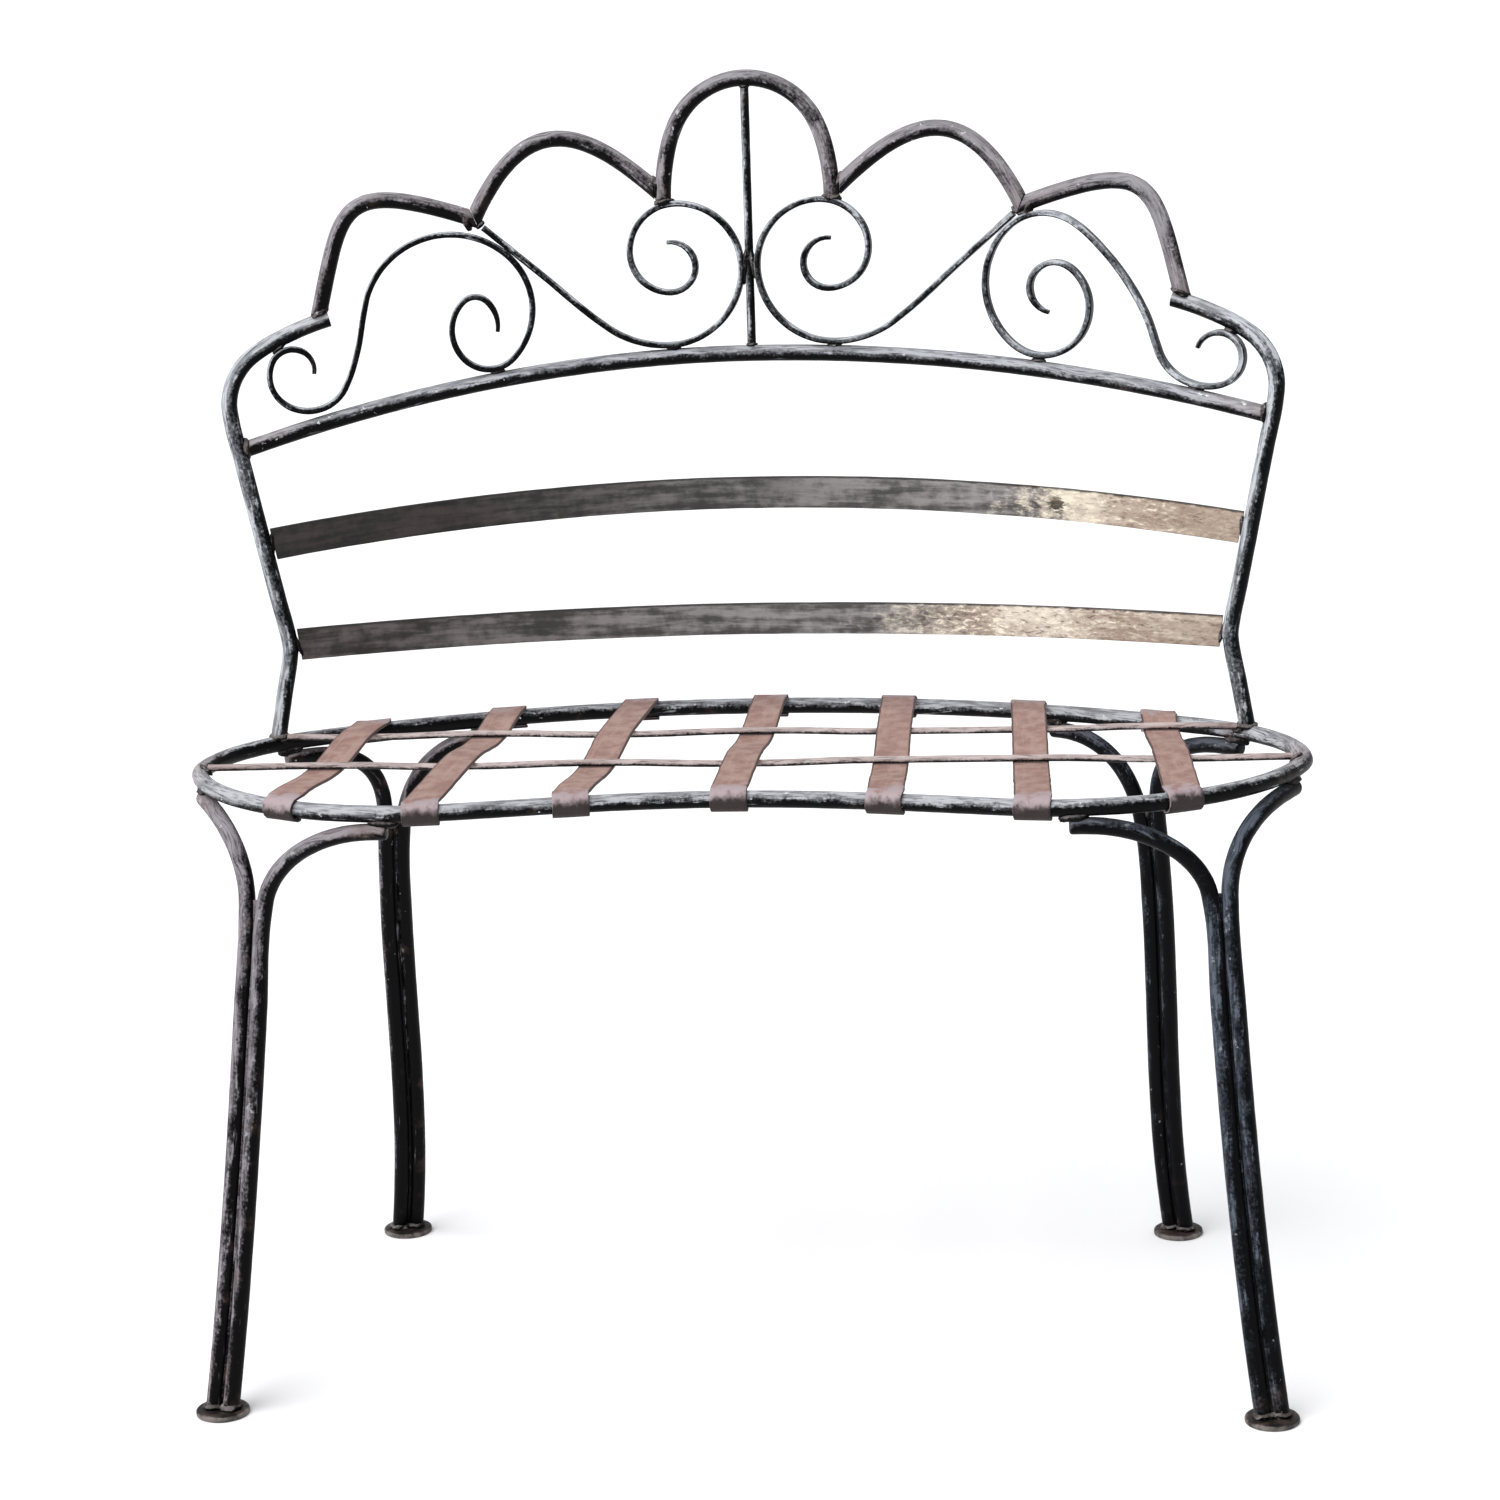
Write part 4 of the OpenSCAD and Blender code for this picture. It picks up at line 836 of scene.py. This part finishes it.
# Half lengths of the weld beads along, across and out of their joints, in millimetres
bar_butt, bar_side, leg_side = (7.9, 8.1, 3.4), (9, 5.3, 3.7), (11, 6, 4.2)
thin_butt, thin_side = (4.2, 4.4, 2.2), (6, 4.6, 2.2)
spindle_side, slat_butt, rail_tip = (14, 5.4, 2.6), (10, 3, 2), (5.2, 5.2, 3)
ankle_lump, knee_lump = (8.2, 8.2, 3.6), (3.6, 5.2, 9)
rails = ("front_rail", "rear_rail")

back_joints = [("centre_spindle", bar, thin_butt, thin_side) for bar in ("mid_rail", "centre_arch")]
seat_joints = [("rear_rail", "front_rail", rail_tip, rail_tip)]
leg_joints, leg_lumps = [], []
for side in sides:
    post, inner_scallop, outer_scallop = side + "_post", side + "_inner_scallop", side + "_outer_scallop"
    inner_scroll, outer_scroll = side + "_inner_scroll", side + "_outer_scroll"
    back_joints += [(first, second, bar_butt, bar_side) for first, second in (
        (post, "rear_rail"), ("mid_rail", post), (outer_scallop, post), (outer_scallop, inner_scallop),
        (inner_scallop, "centre_arch"), ("centre_arch", inner_scroll))]
    back_joints += [(first, second, thin_butt, thin_side) for first, second in (
        (inner_scroll, "mid_rail"), (outer_scroll, "mid_rail"), (outer_scroll, post),
        (outer_scroll, outer_scallop), (inner_scroll, inner_scallop))]
    back_joints.append((inner_scroll, "centre_spindle", thin_butt, spindle_side))
    back_joints += [(slat, post, slat_butt, thin_side) for slat in ("upper_slat", "lower_slat")]
    for rod in ("front_cross_rod", "rear_cross_rod"):
        seat_joints += [(rod, rail, thin_butt, thin_side) for rail in rails]
    for end in ("front", "rear"):
        for bar in ("inner", "outer"):
            name = f"{end}_{side}_leg_{bar}"
            leg_joints += [(name, rail, bar_butt, leg_side) for rail in rails]
            ankle = min(routes[name].points, key=lambda point: point.z)
            leg_lumps.append((Vector((ankle.x, ankle.y, FOOT_TOP + 1.5 * MM)), UP, ACROSS, ankle_lump))
    knee = max(seams[f"rear_{side}_leg"].points, key=lambda point: point.z)
    leg_lumps.append((knee, UP, ACROSS, knee_lump))
weld_group("back_welds", back_joints)
weld_group("seat_welds", seat_joints)
weld_group("leg_welds", leg_joints, leg_lumps)


# Camera at the photograph's viewing angle, light and floor

def look(yaw, pitch, roll):
    """Turn of a camera that looks along Y at rest, from its angles in degrees."""
    yaw, pitch, roll = (math.radians(a) for a in (yaw, pitch, roll))
    ahead = Vector((math.sin(yaw) * math.cos(pitch), math.cos(yaw) * math.cos(pitch), math.sin(pitch)))
    level = Vector((math.cos(yaw), -math.sin(yaw), 0))
    over = level.cross(ahead)
    right = math.cos(roll) * level + math.sin(roll) * over
    above = math.cos(roll) * over - math.sin(roll) * level
    return Matrix((right, above, -ahead)).transposed().to_4x4()


view = bpy.data.cameras.new("photo_view")
view.sensor_fit = "HORIZONTAL"
view.sensor_width = 36
focal_pixels = 3800
frame_pixels = 1500
view.lens = view.sensor_width * focal_pixels / frame_pixels
view.clip_end = 200
# Place and turn that set the feet, the level seat and the even back as they stand in the photograph
camera_place = Vector((0.3161, -2.7642, 1.1060))
camera = bpy.data.objects.new("photo_view", view)
camera.matrix_world = Matrix.Translation(camera_place) @ look(yaw=-6.444, pitch=-13.168, roll=-2.118)
bpy.context.collection.objects.link(camera)
bpy.context.scene.camera = camera

floor_mesh = bpy.data.meshes.new("pale_floor")
bm = bmesh.new()
bmesh.ops.create_circle(bm, cap_ends=True, segments=64, radius=60)
bm.to_mesh(floor_mesh)
bm.free()
floor = bpy.data.objects.new("pale_floor", floor_mesh)
bpy.context.collection.objects.link(floor)
matte, tree = new_finish("matte_white_floor")
shader = add(tree, "ShaderNodeBsdfPrincipled", {"Base Color": colour("#f4f4f5"), "Roughness": 0.9})
add(tree, "ShaderNodeOutputMaterial", {"Surface": shader})
floor_mesh.materials.append(matte)

world = bpy.data.worlds.new("soft_sky")
world.use_nodes = True
world.node_tree.nodes.clear()
sky = add(world.node_tree, "ShaderNodeBackground", {"Color": colour("#fafbfd"), "Strength": 0.6})
add(world.node_tree, "ShaderNodeOutputWorld", {"Surface": sky})
bpy.context.scene.world = world
# The photograph's white ground and deep blacks come from a plain transform
bpy.context.scene.view_settings.view_transform = "Standard"

lamp = bpy.data.lights.new("wide_key_light", "SUN")
lamp.energy = 3.0
lamp.angle = math.radians(55)
key = bpy.data.objects.new("wide_key_light", lamp)
key.matrix_world = Vector((0.45, 0.4, -0.85)).to_track_quat("-Z", "Y").to_matrix().to_4x4()
bpy.context.collection.objects.link(key)
